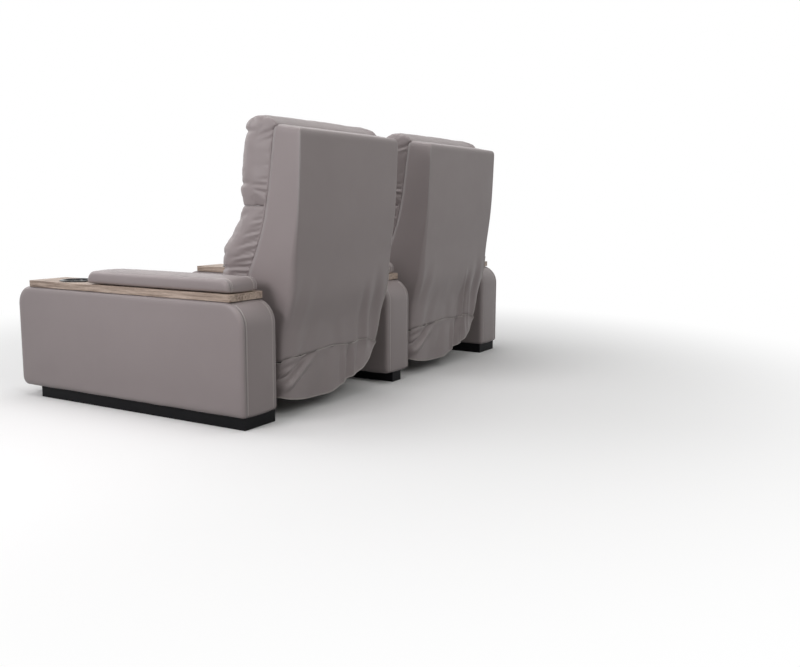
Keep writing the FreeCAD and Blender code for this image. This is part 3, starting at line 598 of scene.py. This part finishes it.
stitches = bmesh.new()
feet = bmesh.new()
for arm_name, middle in ARMS.items():
    bm = boxed_block(middle, PAD_LOW, PAD_HIGH, PAD_RADII, both_ways(PAD_ROLL), pad_swell(middle), 0.02)
    piece = hand_over("armrest_cover_" + arm_name, bm, cover, "base",
                      ("armrest_pad_" + arm_name,), band_shade_and_highlight(middle, 54.8, 57, 60))
    for side in (-1, 1):
        ring = outline(PAD_LOW, PAD_HIGH, PAD_RADII, 0.5 * MM, 14)
        path = [Vector((middle + side * 47 * MM, spot.x, spot.y + 0.6 * MM)) for spot in ring]
        start = next(i for i, spot in enumerate(path) if spot.z > 0.412)
        stitch_row(stitches, [spot for spot in path[start:] if spot.z > 0.410])
    for y in (-0.09, 0.14, 0.37):
        place = Matrix.Translation((middle, y, 0.4051))
        made = bmesh.ops.create_cone(feet, cap_ends=True, segments=32, radius1=0.015, radius2=0.0135,
                                     depth=0.0042, matrix=place)
        rim = list({edge for vert in made["verts"] for edge in vert.link_edges if len(edge.link_faces) == 2})
        bmesh.ops.bevel(feet, geom=rim, offset=0.6 * MM, segments=2, profile=0.5, affect="EDGES",
                        material=-1)
pad_stitches = hand_over("armrest_topstitching", stitches, thread, "base")
hand_over("armrest_feet", feet, matte_black, "base")
print(len(pad_stitches.data.polygons) // 20, "stitches on the pads")

# %% [markdown]
# ## Cup holders
# A cup holder is one moulding: a flat polished ring that sits on the tray, a rolled lip, a tapering
# bowl and three soft fins that grip cups of different sizes. The ring and bowl are a profile spun
# round the bowl's axis; each fin is a bevelled bar leaning off the wall.

# %% Cup holders
CUP_Y = -0.288
CUP_PROFILE = ((0, 329), (30, 329), (36, 331), (38.6, 336), (40.5, 370), (41.6, 398), (42.2, 402.6),
               (43.5, 405.6), (46, 407.3), (49, 407.9), (53.5, 407.6), (56, 406.4), (57, 404.6),
               (57, 403.2), (46, 403.2), (44.4, 401), (43.2, 370), (41.2, 334), (38.5, 328.5),
               (33, 326.4), (0, 326.4))
for arm_name, middle in ARMS.items():
    bm = bmesh.new()
    spots = [bm.verts.new((middle + radius * MM, CUP_Y, height * MM)) for radius, height in CUP_PROFILE]
    edges = [bm.edges.new(pair) for pair in zip(spots, spots[1:])]
    bmesh.ops.spin(bm, geom=spots + edges, cent=(middle, CUP_Y, 0), axis=(0, 0, 1), angle=2 * math.pi,
                   steps=72, use_merge=True)
    bmesh.ops.remove_doubles(bm, verts=bm.verts, dist=1e-6)
    for turn in (30, 150, 270):
        lean = Matrix.Translation((middle, CUP_Y, 0)) @ Matrix.Rotation(math.radians(turn), 4, "Z")
        size = Matrix.Diagonal((0.0070, 0.0075, 0.052, 1))
        place = lean @ Matrix.Translation((0.0392, 0, 0.370)) @ size
        made = bmesh.ops.create_cube(bm, size=1, matrix=place)["verts"]
        rim = list({edge for vert in made for edge in vert.link_edges})
        bmesh.ops.bevel(bm, geom=rim, offset=2.2 * MM, segments=3, profile=0.5, affect="EDGES", material=-1)
    hand_over("cup_holder_moulding_" + arm_name, bm, gloss_black, "base",
              ("cup_holder_" + arm_name,))
print("bowl", CUP_PROFILE[4][0] * 2, "mm wide and", 403 - 329, "mm deep")

# %% [markdown]
# ## The back cover
# The rear of each back is one slipcover: two side panels and a rear panel, with corners that are
# crisp at the top and soften lower down, where nothing but the cloth's own weight holds them.
# The cover is wrapped ring by ring round the side profile. Below the armrests the far side runs in
# and the cloth hangs in long vertical folds, down to a stitched seam that rises and falls.

# %% Profiles and folds of the back cover
REAR = ((0.150, 0.4955), (0.188, 0.499), (0.283, 0.506), (0.376, 0.526), (0.499, 0.538), (0.634, 0.554),
        (0.765, 0.562), (0.886, 0.566))
FRONT = ((0.150, 0.444), (0.188, 0.440), (0.245, 0.424), (0.310, 0.390), (0.360, 0.358), (0.440, 0.356),
         (0.520, 0.390), (0.600, 0.419), (0.700, 0.440), (0.790, 0.453), (0.898, 0.467))
SEAM = ((-0.245, 0.174), (-0.182, 0.192), (-0.140, 0.194), (-0.074, 0.189), (0.020, 0.196), (0.110, 0.193),
        (0.222, 0.187), (0.276, 0.186), (0.290, 0.172))
HEM = ((-0.245, 0.172), (-0.199, 0.122), (-0.141, 0.088), (-0.067, 0.066), (-0.020, 0.054), (0.049, 0.042),
       (0.165, 0.043), (0.265, 0.058), (0.290, 0.064))
HALF = 0.2865
COVER_FOLDS = (((-0.132, 0.36), (-0.136, 0.19), 5.0, 0.016), ((-0.208, 0.40), (-0.214, 0.18), 6.0, 0.020),
               ((-0.170, 0.31), (-0.176, 0.19), -3.0, 0.014), ((0.236, 0.40), (0.286, 0.17), 4.5, 0.022),
               ((0.150, 0.30), (0.205, 0.18), 2.5, 0.020), ((0.030, 0.27), (0.020, 0.19), 2.0, 0.026))
SHARP_FOLD = (((-0.108, 0.34), (-0.112, 0.10), -7.0, 0.007), ((-0.128, 0.33), (-0.130, 0.14), 6.0, 0.012),
              ((-0.085, 0.30), (-0.082, 0.16), 4.0, 0.012), ((-0.160, 0.30), (-0.168, 0.15), 3.5, 0.010))
SKIRT_FOLDS = (((0.317, 0.100), (0.160, 0.186), 12.0, 0.012), ((0.305, 0.080), (0.190, 0.150), -7.0, 0.011),
               ((0.330, 0.130), (0.240, 0.170), 6.0, 0.008), ((-0.074, 0.175), (-0.070, 0.070), 8.0, 0.014),
               ((-0.042, 0.165), (-0.036, 0.075), -5.0, 0.012),
               ((-0.140, 0.180), (-0.120, 0.095), 4.0, 0.016), ((0.060, 0.180), (0.100, 0.050), 3.0, 0.024))


def folded(x, z, marks):
    """How far creases push the cloth in, in metres; a mark is (start, end, depth in mm, width)."""
    total = 0
    for (x1, z1), (x2, z2), depth, width in marks:
        run_x, run_z = x2 - x1, z2 - z1
        length = math.hypot(run_x, run_z)
        share = ((x - x1) * run_x + (z - z1) * run_z) / length ** 2
        off = ((x - x1) * run_z - (z - z1) * run_x) / length
        if -0.4 < share < 1.4 and abs(off) < 4 * width:
            fade = ease(share, -0.35, 0.35) * (1 - ease(share, 0.9, 1.35))
            shape = (bell(off, width) - 0.55 * bell(off - 1.9 * width, width * 0.9)
                     - 0.25 * bell(off + 1.9 * width, width))
            total += depth * MM * fade * shape
    return total


FAR_HALF = ((0.10, 0.232), (0.174, 0.243), (0.26, 0.266), (0.34, 0.282), (0.40, 0.2865), (0.9, 0.2865))


def far_half(z):
    """Half width on the far side, where the cloth runs in below the armrest."""
    return flowing(FAR_HALF, z)


# The columns of a ring: far side, far corner, rear, near corner, near side, front
COLUMNS = (10, 8, 92, 8, 10, 16)


def cover_spot(column, z, inset, marks):
    """One point of the closed ring round the cover at a height."""
    back = flowing(REAR, z) - inset
    front = flowing(FRONT, z) + inset
    far, near = -far_half(z) + inset, HALF - inset
    room = (back - front) * 0.45
    near_radius = min(mix(0.030, 0.006, ease(z, 0.22, 0.72)), room)
    far_radius = min(mix(0.012, 0.006, ease(z, 0.30, 0.60)), room)
    part = 0
    while column >= COLUMNS[part]:
        column -= COLUMNS[part]
        part += 1
    share = column / COLUMNS[part]
    if part == 0:
        spot = Vector((far, mix(front, back - far_radius, share), z))
    elif part == 1:
        angle = math.radians(180 - 90 * share)
        spot = Vector((far + far_radius + far_radius * math.cos(angle),
                       back - far_radius + far_radius * math.sin(angle), z))
    elif part == 2:
        spot = Vector((mix(far + far_radius, near - near_radius, share), back, z))
    elif part == 3:
        angle = math.radians(90 - 90 * share)
        spot = Vector((near - near_radius + near_radius * math.cos(angle),
                       back - near_radius + near_radius * math.sin(angle), z))
    elif part == 4:
        spot = Vector((near, mix(back - near_radius, front, share), z))
    else:
        spot = Vector((mix(near, far, share), front, z))
    rearward = ease(spot.y, mix(front, back, 0.55), back)
    low = 1 - ease(z, 0.30, 0.46)
    ripple = 2.2 * MM * noise.noise(Vector((spot.x * 16, 1.7, z * 3)))
    spot.y += rearward * (ripple * low - folded(spot.x, z, marks))
    spot.y += rearward * 1.3 * MM * noise.noise(Vector((spot.x * 5, 4, z * 5)))
    spot.z -= ease(z, 0.80, 0.90) * mix(4, 16, (spot.y - front) / (back - front)) * MM
    if part in (0, 1, 3, 4):
        waves = 1.6 * MM * noise.noise(Vector((2, spot.y * 12, z * 7)))
        spot.x += math.copysign(1 - rearward, spot.x) * waves
    return spot


TOP_ROLL = ((0.884, 0), (0.890, 0.2), (0.895, 0.8), (0.8995, 2.0), (0.9035, 4.2), (0.9062, 7.5),
            (0.9075, 12), (0.908, 20))
COVER_ROWS = 76


def cover_height(row, x):
    """Height and inset of a row: the lowest follows the seam, the last roll over the top."""
    if row >= COVER_ROWS:
        height, inset = TOP_ROLL[row - COVER_ROWS]
        return height, inset * MM
    return mix(flowing(SEAM, x), TOP_ROLL[0][0], row / COVER_ROWS), 0


# %% Back covers
# Painted highlights along the back cover's rounded corners and the front edge of its side panels, where the
# cloth catches the light.
def cover_highlight(middle):
    def shade(spot):
        x = spot.x - middle
        behind = spot.y - flowing(REAR, spot.z)
        corner_far = bell(math.hypot(x + far_half(spot.z), behind) - 2 * MM, 3 * MM)
        corner_near = bell(math.hypot(x - HALF, behind) - 2 * MM, 3 * MM) * ease(spot.z, 0.3, 0.6)
        edge = bell(spot.y - flowing(FRONT, spot.z) - 1.5 * MM, 2.5 * MM) * ease(abs(x), 0.280, 0.285)
        return 0.5 * corner_far + 0.4 * corner_near + 0.5 * edge
    return shade


def cover_sheet(bm, middle, marks):
    rows = COVER_ROWS + len(TOP_ROLL)
    around = sum(COLUMNS)

    def lay(u, v):
        row = round(v * (rows - 1))
        column = round(u * around) % around
        rough = cover_spot(column, 0.19, 0, ())
        height, inset = cover_height(row, rough.x)
        return cover_spot(column, height, inset, marks) + Vector((middle, 0, 0))

    close_up(bm, wrap(bm, around, rows - 1, lay), 1e-5)


for seat_name, middle in SEATS.items():
    marks = COVER_FOLDS + (SHARP_FOLD if seat_name == "right" else ())
    bm = bmesh.new()
    cover_sheet(bm, middle, marks)
    piece = hand_over("back_cover_" + seat_name, bm, cover, "backrest_" + seat_name,
                      ("back_shell_" + seat_name,), cover_highlight(middle))
    print(piece.name, len(piece.data.polygons), "faces")

# %% Rolls round the board
EDGE_X = 0.2785
for seat_name, middle in SEATS.items():
    rise = [mix(0.366, 0.870, step / 60) for step in range(61)]
    span = [mix(-EDGE_X, EDGE_X, step / 40) for step in range(41)]
    loop = [Vector((middle - EDGE_X, flowing(FRONT, z) - 7 * MM, z)) for z in rise]
    loop += [Vector((middle + x, flowing(FRONT, 0.876) - 7 * MM, 0.876)) for x in span]
    loop += [Vector((middle + EDGE_X, flowing(FRONT, z) - 7 * MM, z)) for z in reversed(rise)]
    bm = bmesh.new()
    tube(bm, loop, 7.2 * MM, 16)
    tube(bm, [Vector((middle + x, flowing(FRONT, 0.66) - 24 * MM, 0.660)) for x in span], 7.5 * MM, 16)
    roll = hand_over("board_roll_" + seat_name, bm, cover, "backrest_" + seat_name)
    print(roll.name, "closes the gaps behind the pillows")

# %% [markdown]
# ## The skirt, its hem and the stitched seam
# Below the seam the cover goes on as a loose skirt that hides the mechanism. It is a single sheet,
# so it is laid as a grid between the seam and the hem, thickened, and hung in folds; the hem sweeps
# up to meet the far edge. Pale piping is sewn into that edge, and a pale cord and a row of stitches hold the
# seam.
# On the real seats the foot of the cloth stays with the seat frame when the back leans; here the skirt and
# its hem piping get no body, while the seam, its stitches and the side piping ride on the back.

# %% Skirts
SKIRT_THICK = 1.6 * MM


def skirt_spot(x, share, marks):
    """A point of the skirt between the seam, share 1, and the hem, share 0."""
    top, hem = flowing(SEAM, x), flowing(HEM, x)
    z = mix(hem, top, share)
    hang = 1 - share
    y = flowing(REAR, max(z, 0.17)) - 1.0 * MM
    y += hang * (3.0 * MM * math.sin(x * 31 + 0.6) + 2.5 * MM * noise.noise(Vector((x * 9, 0.3, z * 6))))
    y -= folded(x, z, marks)
    return Vector((x, y, z))


def corner_in(spot, near):
    """Turns the near end of the sheet round the corner of the back."""
    over = spot.x - near
    if over <= 0:
        return spot
    radius = 0.030
    angle = min(over / radius, math.pi / 2)
    rest = max(over - radius * math.pi / 2, 0)
    depth = spot.y - radius * (1 - math.cos(angle)) - rest
    return Vector((near + radius * math.sin(angle), depth, spot.z))


def skirt_path(middle, share, marks, count=140, start=-0.2445, end=0.352, lift=0.0):
    """Points along the skirt at one height share, for piping and stitches."""
    path = []
    for step in range(count + 1):
        spot = skirt_spot(mix(start, end, step / count), share, marks)
        spot = corner_in(spot, HALF - 0.030)
        path.append(spot + Vector((middle, lift, 0)))
    return path


for seat_name, middle in SEATS.items():
    marks = SKIRT_FOLDS + COVER_FOLDS + (SHARP_FOLD if seat_name == "right" else ())
    bm = bmesh.new()

    def lay(u, v):
        spot = corner_in(skirt_spot(mix(-0.2445, 0.352, u), v, marks), HALF - 0.030)
        return spot + Vector((middle, 0, 0))

    wrap(bm, 186, 34, lay)
    flat_area = sum(face.calc_area() for face in bm.faces)
    skirt = hand_over("skirt_" + seat_name, bm, cover_soft, None, ("back_skirt_" + seat_name,))
    thicken = skirt.modifiers.new("thickness", "SOLIDIFY")
    thicken.thickness = SKIRT_THICK
    thicken.offset = 0
    hem = bmesh.new()
    tube(hem, skirt_path(middle, 0, marks), 2.3 * MM)
    edge = [cover_spot(COLUMNS[0] + 4, z, -1.0 * MM, marks) + Vector((middle, 0, 0)) for z in
            [mix(0.44, 0.176, step / 40) for step in range(41)]]
    hem_piece = hand_over("skirt_piping_" + seat_name, hem, cord_trim, None)
    side = bmesh.new()
    tube(side, edge, 1.9 * MM)
    hand_over("cover_piping_" + seat_name, side, cord_trim, "backrest_" + seat_name)
    seam = bmesh.new()
    tube(seam, skirt_path(middle, 1, marks, 150, lift=0.8 * MM), 1.5 * MM, 6)
    hand_over("skirt_seam_" + seat_name, seam, cord_trim, "backrest_" + seat_name)
    rows = bmesh.new()
    stitch_rise = Vector((0, 0, 5 * MM))
    stitch_row(rows, [spot + stitch_rise for spot in skirt_path(middle, 1, marks, 150, lift=0.6 * MM)])
    hand_over("skirt_stitches_" + seat_name, rows, thread, "backrest_" + seat_name)
    for piece in (skirt, hem_piece):
        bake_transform(piece)
    print(skirt.name, "hangs", round(flat_area, 4), "square metres of cloth")

# %% [markdown]
# ## Padded pieces
# The pillows, seat cushions and footrest pads are foam and fibre in a sewn cover. Each starts as the
# frame's own closed form, remeshed into an even skin a few millimetres fine. Cloth with a little
# inner pressure then swells it while the points on its seams are held, so the cover pulls in between
# its seams as real ones do. The cap on each point's travel keeps the cushion inside its space. All
# the pieces of one seat swell together, and the other seat gets a copy.

# %% Swelling a form as cloth
def remeshed(node_name, cell):
    """A node's skin as even small faces, in a new object that isn't part of the scene's pieces."""
    bm = bmesh.new()
    bm.from_mesh(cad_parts[node_name].data)
    bmesh.ops.remove_doubles(bm, verts=bm.verts, dist=1e-5)
    mesh = bpy.data.meshes.new("rough_" + node_name)
    bm.to_mesh(mesh)
    bm.free()
    rough = bpy.data.objects.new("rough_" + node_name, mesh)
    bpy.context.collection.objects.link(rough)
    skin = rough.modifiers.new("skin", "REMESH")
    skin.mode = "VOXEL"
    skin.voxel_size = cell
    graph = bpy.context.evaluated_depsgraph_get()
    even = bpy.data.meshes.new_from_object(rough.evaluated_get(graph))
    rough.modifiers.clear()
    rough.data = even
    return rough


CLOTH = {"quality": 4, "mass": 0.25, "tension_stiffness": 12, "compression_stiffness": 12,
         "shear_stiffness": 6, "bending_stiffness": 0.4, "use_pressure": True, "vertex_group_mass": "sewn"}


def as_cloth(rough, hold, pressure):
    """Adds cloth with pressure; hold(point) is 1 where the cover is sewn down."""
    group = rough.vertex_groups.new(name="sewn")
    for vert in rough.data.vertices:
        group.add([vert.index], hold(vert.co), "REPLACE")
    cloth = rough.modifiers.new("cloth", "CLOTH")
    for key, value in CLOTH.items():
        setattr(cloth.settings, key, value)
    cloth.settings.uniform_pressure_force = pressure
    cloth.settings.effector_weights.gravity = 0
    cloth.point_cache.frame_start = 1
    cloth.point_cache.frame_end = 20


def swollen(rough, cap):
    """The cloth's last shape, with each point's travel capped."""
    before = [vert.co.copy() for vert in rough.data.vertices]
    graph = bpy.context.evaluated_depsgraph_get()
    after = bpy.data.meshes.new_from_object(rough.evaluated_get(graph))
    for vert, start in zip(after.vertices, before):
        travel = vert.co - start
        if travel.length > cap:
            vert.co = start + travel * (cap / travel.length)
    return after


# %% Where each cover is sewn down
SEAT_X = SEATS["left"]
HEAD_CHANNELS = (0.888, 0.730)
LUMBAR_CHANNELS = (0.465, 0.345)
CUSHION_CHANNEL_Y = -0.375
FOOT_CHANNEL_Z = 0.112


def board_line(z):
    """Depth of the board's front face, which the pillows lie against."""
    return flowing(FRONT, z) - 0.014


def hold_pillow(channels):
    def hold(spot):
        if spot.y > board_line(spot.z) - 0.012:
            return 1.0
        near_channel = max(bell(spot.z - z, 0.005) for z in channels)
        return 0.9 if near_channel > 0.5 and abs(spot.x - SEAT_X) < 0.25 else 0.0
    return hold


def hold_cushion(spot):
    if spot.z < 0.214:
        return 1.0
    side = abs(abs(spot.x - SEAT_X) - 0.306)
    if side < 0.004 and spot.z > 0.24:
        return 0.7
    return 0.9 if abs(spot.y - CUSHION_CHANNEL_Y) < 0.004 else 0.0


def hold_foot(spot):
    if spot.y > -0.478:
        return 1.0
    return 0.9 if abs(spot.z - FOOT_CHANNEL_Z) < 0.004 else 0.0


CUSHIONS = {
    "head_pillow": (hold_pillow(HEAD_CHANNELS), 0.006, 0.024, 4.0),
    "lumbar_pillow": (hold_pillow(LUMBAR_CHANNELS), 0.006, 0.022, 4.0),
    "seat_cushion": (hold_cushion, 0.007, 0.022, 4.0),
    "footrest_pad": (hold_foot, 0.006, 0.014, 3.0),
}
rough_pieces = {kind: remeshed(kind + "_left", rules[1]) for kind, rules in CUSHIONS.items()}
for kind, rough in rough_pieces.items():
    as_cloth(rough, CUSHIONS[kind][0], CUSHIONS[kind][3])
for step in range(1, 21):
    bpy.context.scene.frame_set(step)
plump = {kind: swollen(rough, CUSHIONS[kind][2]) for kind, rough in rough_pieces.items()}
for rough in rough_pieces.values():
    bpy.data.objects.remove(rough)
bpy.context.scene.frame_set(1)
print({kind: len(mesh.vertices) for kind, mesh in plump.items()})

# %% [markdown]
# ## Seams, channels and gathers
# The remesh can't hold a seam narrower than its cells, so the sewn lines are pressed in afterwards:
# channels across the fronts, a seam round each side, and the short slanting gathers where the
# pillow's side is pulled into the cover. Each is a small move along the surface's own direction.

# %% Pressing the seams in
HEAD_GATHERS = ((0.892, 0.060, 7, 0.5), (0.866, 0.030, 3, 0.3), (0.820, 0.028, 2, 0.2),
                (0.780, 0.030, 2.5, -0.1), (0.742, 0.045, 4, 0.1), (0.729, 0.075, 6, 0.15),
                (0.712, 0.050, 4, -0.3), (0.694, 0.065, 5, -0.35), (0.680, 0.040, 4, -0.5))
LUMBAR_GATHERS = ((0.645, 0.040, 4, 0.5), (0.630, 0.055, 5, 0.45), (0.611, 0.045, 4, 0.6),
                  (0.590, 0.070, 5, 0.4), (0.571, 0.050, 4, 0.5), (0.556, 0.085, 5, 0.35),
                  (0.534, 0.060, 4, 0.45), (0.518, 0.095, 5, 0.3), (0.493, 0.070, 4, 0.2),
                  (0.470, 0.110, 6, 0.05), (0.446, 0.060, 4, -0.1), (0.428, 0.080, 4, -0.2))


MEETING_Z = 0.660
PILLOW_HALF, PILLOW_SEAM = 0.2875, 0.016


def gathered(spot, seam_y, gathers):
    """Short folds that fan forward from the seam behind, each (height, length, depth in mm, fall)."""
    ahead = seam_y - spot.y
    total = 0
    for height, length, depth, slope in gathers:
        bend = 2.0 * MM * noise.noise(Vector((ahead * 30, height * 70, 5)))
        off = spot.z - height + ahead * slope + bend
        fade = ease(ahead, -0.012, -0.004) * (1 - ease(ahead, length * 0.3, length))
        total += depth * MM * fade * (bell(off, 0.0042) - 0.6 * bell(off + 0.0085, 0.0045))
    return total


def pressed(bm, move):
    """Shifts every point by move(point, direction of the surface there)."""
    bm.normal_update()
    moves = [(vert, move(vert.co, vert.normal)) for vert in bm.verts]
    for vert, shift in moves:
        vert.co += shift


def press_pillow(channels, gathers):
    half = PILLOW_HALF

    def move(spot, way):
        x = abs(spot.x)
        front = ease(-way.y, -0.1, 0.5)
        sideways = ease(x, half - 0.045, half - 0.012)
        seam_y = board_line(spot.z) + 0.012
        depth = 0
        for z in channels:
            line = z + 1.5 * MM * math.sin(spot.x * 40)
            line += 2.0 * MM * noise.noise(Vector((spot.x * 8, z * 30, 0)))
            ruck = 1 + 0.35 * noise.noise(Vector((spot.x * 45, z * 50, 2)))
            off = spot.z - line
            depth += front * (8.0 * MM * bell(off, 0.006) * ruck + 3.0 * MM * bell(off, 0.020))
        depth += sideways * gathered(spot, seam_y, gathers)
        ahead = 1 - ease(spot.y, seam_y - 0.05, seam_y - 0.02)
        depth += 3.4 * MM * bell(x - (half - PILLOW_SEAM), 0.0035) * ahead
        soft = 2.4 * MM * noise.noise(Vector((spot.x * 7, spot.y * 9, spot.z * 11)))
        fine = 0.9 * MM * noise.noise(Vector((spot.x * 24, spot.y * 20, spot.z * 34)))
        board = board_line(spot.z)
        rim = ease(x, half - PILLOW_SEAM, half - 0.009) * ease(spot.y, board - 0.030, board - 0.004)
        low = ease(spot.z, 0.35, 0.37)
        meet = (MEETING_Z - spot.z) * (1 - ease(abs(MEETING_Z - spot.z), 0.009, 0.018))
        if meet:
            soft = fine = 0
        return way * (soft + fine - depth) + Vector((0, 13.5 * MM * rim * low, meet))
    return move


def press_cushion(spot, way):
    up = ease(way.z - way.y * 0.6, 0.2, 0.7)
    ruck = 1 + 0.3 * noise.noise(Vector((spot.x * 40, 3, spot.z * 20)))
    off = spot.y - CUSHION_CHANNEL_Y
    depth = up * (6.0 * MM * bell(off, 0.005) * ruck + 3.0 * MM * bell(off, 0.02))
    depth += 2.5 * MM * bell(abs(spot.x) - 0.306, 0.0035) * ease(spot.z, 0.225, 0.25)
    soft = 2.5 * MM * noise.noise(Vector((spot.x * 6, spot.y * 6, 1)))
    return way * (soft * up - depth)


def press_foot(spot, way):
    front = ease(-way.y, 0.0, 0.5)
    ruck = 1 + 0.3 * noise.noise(Vector((spot.x * 40, 3, spot.z * 20)))
    off = spot.z - FOOT_CHANNEL_Z
    depth = front * (5.0 * MM * bell(off, 0.005) * ruck + 2.0 * MM * bell(off, 0.016))
    soft = 1.5 * MM * front * noise.noise(Vector((spot.x * 7, 1, spot.z * 9)))
    return way * (soft - depth)


PRESSES = {
    "head_pillow": press_pillow(HEAD_CHANNELS, HEAD_GATHERS),
    "lumbar_pillow": press_pillow(LUMBAR_CHANNELS, LUMBAR_GATHERS),
    "seat_cushion": press_cushion,
    "footrest_pad": press_foot,
}


def seam_shade(kind, middle):
    """The seam round each side of a pillow lies in its own shadow."""
    def shade(spot):
        off = abs(spot.x - middle)
        behind = ease(spot.y, board_line(spot.z) - 0.05, board_line(spot.z) - 0.02)
        return -0.7 * bell(off - (PILLOW_HALF - PILLOW_SEAM), 0.0016) * (1 - behind)
    return shade if "pillow" in kind else None


BODIES = {"head_pillow": "backrest_", "lumbar_pillow": "backrest_", "seat_cushion": "carriage_",
          "footrest_pad": "footrest_"}
for kind, mesh in plump.items():
    for seat_name, middle in SEATS.items():
        bm = bmesh.new()
        bm.from_mesh(mesh)
        bmesh.ops.translate(bm, verts=bm.verts, vec=(-SEAT_X, 0, 0))
        pressed(bm, PRESSES[kind])
        bmesh.ops.translate(bm, verts=bm.verts, vec=(middle, 0, 0))
        piece = hand_over(kind + "_cover_" + seat_name, bm, cover_soft, BODIES[kind] + seat_name,
                          (kind + "_" + seat_name,), seam_shade(kind, middle))
        finer = piece.modifiers.new("finer", "SUBSURF")
        finer.levels = 1
        finer.render_levels = 1
    print(kind, "made for both seats")

# %% [markdown]
# ## Floor, light and measurements
# A pale floor runs out of sight. The key light is small and stands beside the near seat, a little
# above its back, so the side panels are the brightest faces and the pads cast shadows on them, as in
# the photograph. Broad lights fill the top, the rear and the front, and a white world fills the rest.

# %% Floor and world
bm = bmesh.new()
bmesh.ops.create_grid(bm, x_segments=1, y_segments=1, size=12)
floor_mesh = bpy.data.meshes.new("floor")
bm.to_mesh(floor_mesh)
bm.free()
floor = bpy.data.objects.new("floor", floor_mesh)
bpy.context.collection.objects.link(floor)
floor_paint = Paint("pale_floor")
rays = floor_paint.add("ShaderNodeLightPath")
floor_colour = floor_paint.blend(rays["Is Diffuse Ray"], (0.86, 0.86, 0.86), (0.22, 0.22, 0.22))
floor_paint.finish(Base_Color=floor_colour, Roughness=0.7, Specular_IOR_Level=0.2)
away = floor_paint.add("ShaderNodeVectorMath", {"operation": "LENGTH"}, {0: floor_paint.place})["Value"]
seen = (rays["Is Camera Ray"] + rays["Is Glossy Ray"] + rays["Is Transmission Ray"]).clamped()
fade = floor_paint.add("ShaderNodeMapRange", {"interpolation_type": "SMOOTHSTEP"},
                       {"Value": away, "From Min": 0.9, "From Max": 2.6})["Result"]
glow = floor_paint.add("ShaderNodeEmission", {}, {"Color": (1, 1, 1, 1), "Strength": 1.0})["Emission"]
either = floor_paint.add("ShaderNodeMixShader", {}, {0: seen * fade})["Shader"]
tree = floor_paint.tree
tree.links.new(floor_paint.surface.outputs[0], either.socket.node.inputs[1])
tree.links.new(glow.socket, either.socket.node.inputs[2])
tree.links.new(either.socket, tree.nodes["Material Output"].inputs["Surface"])
floor_mesh.materials.append(floor_paint.material)
floor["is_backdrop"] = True

world = bpy.context.scene.world or bpy.data.worlds.new("studio")
bpy.context.scene.world = world
world.use_nodes = True
tree = world.node_tree
tree.nodes.clear()
path = tree.nodes.new("ShaderNodeLightPath")
seen = tree.nodes.new("ShaderNodeMath")
seen.operation = "MAXIMUM"
tree.links.new(path.outputs["Is Camera Ray"], seen.inputs[0])
tree.links.new(path.outputs["Is Glossy Ray"], seen.inputs[1])
either = tree.nodes.new("ShaderNodeMixShader")
tree.links.new(seen.outputs[0], either.inputs["Fac"])
for slot, strength in ((1, 0.30), (2, 1.0)):
    ground = tree.nodes.new("ShaderNodeBackground")
    ground.inputs["Color"].default_value = (1, 1, 1, 1)
    ground.inputs["Strength"].default_value = strength
    tree.links.new(ground.outputs[0], either.inputs[slot])
tree.links.new(either.outputs[0], tree.nodes.new("ShaderNodeOutputWorld").inputs["Surface"])
print("world ready")


# %% Lights
def soft_light(name, place, target, size, power, tint=(1, 1, 1)):
    data = bpy.data.lights.new(name, "AREA")
    data.shape = "RECTANGLE"
    data.size, data.size_y = size
    data.energy = power
    data.color = tint
    light = bpy.data.objects.new(name, data)
    light.visible_camera = False
    bpy.context.collection.objects.link(light)
    way = Vector(target) - Vector(place)
    light.matrix_world = Matrix.Translation(place) @ way.to_track_quat("-Z", "Y").to_matrix().to_4x4()


soft_light("key", (2.4, 0.05, 1.2), (0.69, 0.4, 0.72), (0.7, 0.7), 15, (1.0, 0.965, 0.985))
soft_light("front", (1.4, -3.6, 2.6), (0, 0, 0.4), (2.6, 1.8), 42)
soft_light("top", (0.2, 0.0, 3.6), (0, 0.1, 0.4), (2.4, 2.4), 54)
soft_light("fill", (1.4, 3.6, 2.7), (0, 0.5, 0.8), (2.6, 2.0), 34, (1.0, 0.99, 0.955))
bpy.context.scene.view_settings.view_transform = "Standard"
print("four soft lights")

# %% Measure the scene's bounds
seen_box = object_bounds()
boxes = {"cad": [list(corner) for corner in cad_box], "visual": [list(corner) for corner in seen_box]}
for label, (low, high) in boxes.items():
    print(label, [round(value, 4) for value in low], [round(value, 4) for value in high])
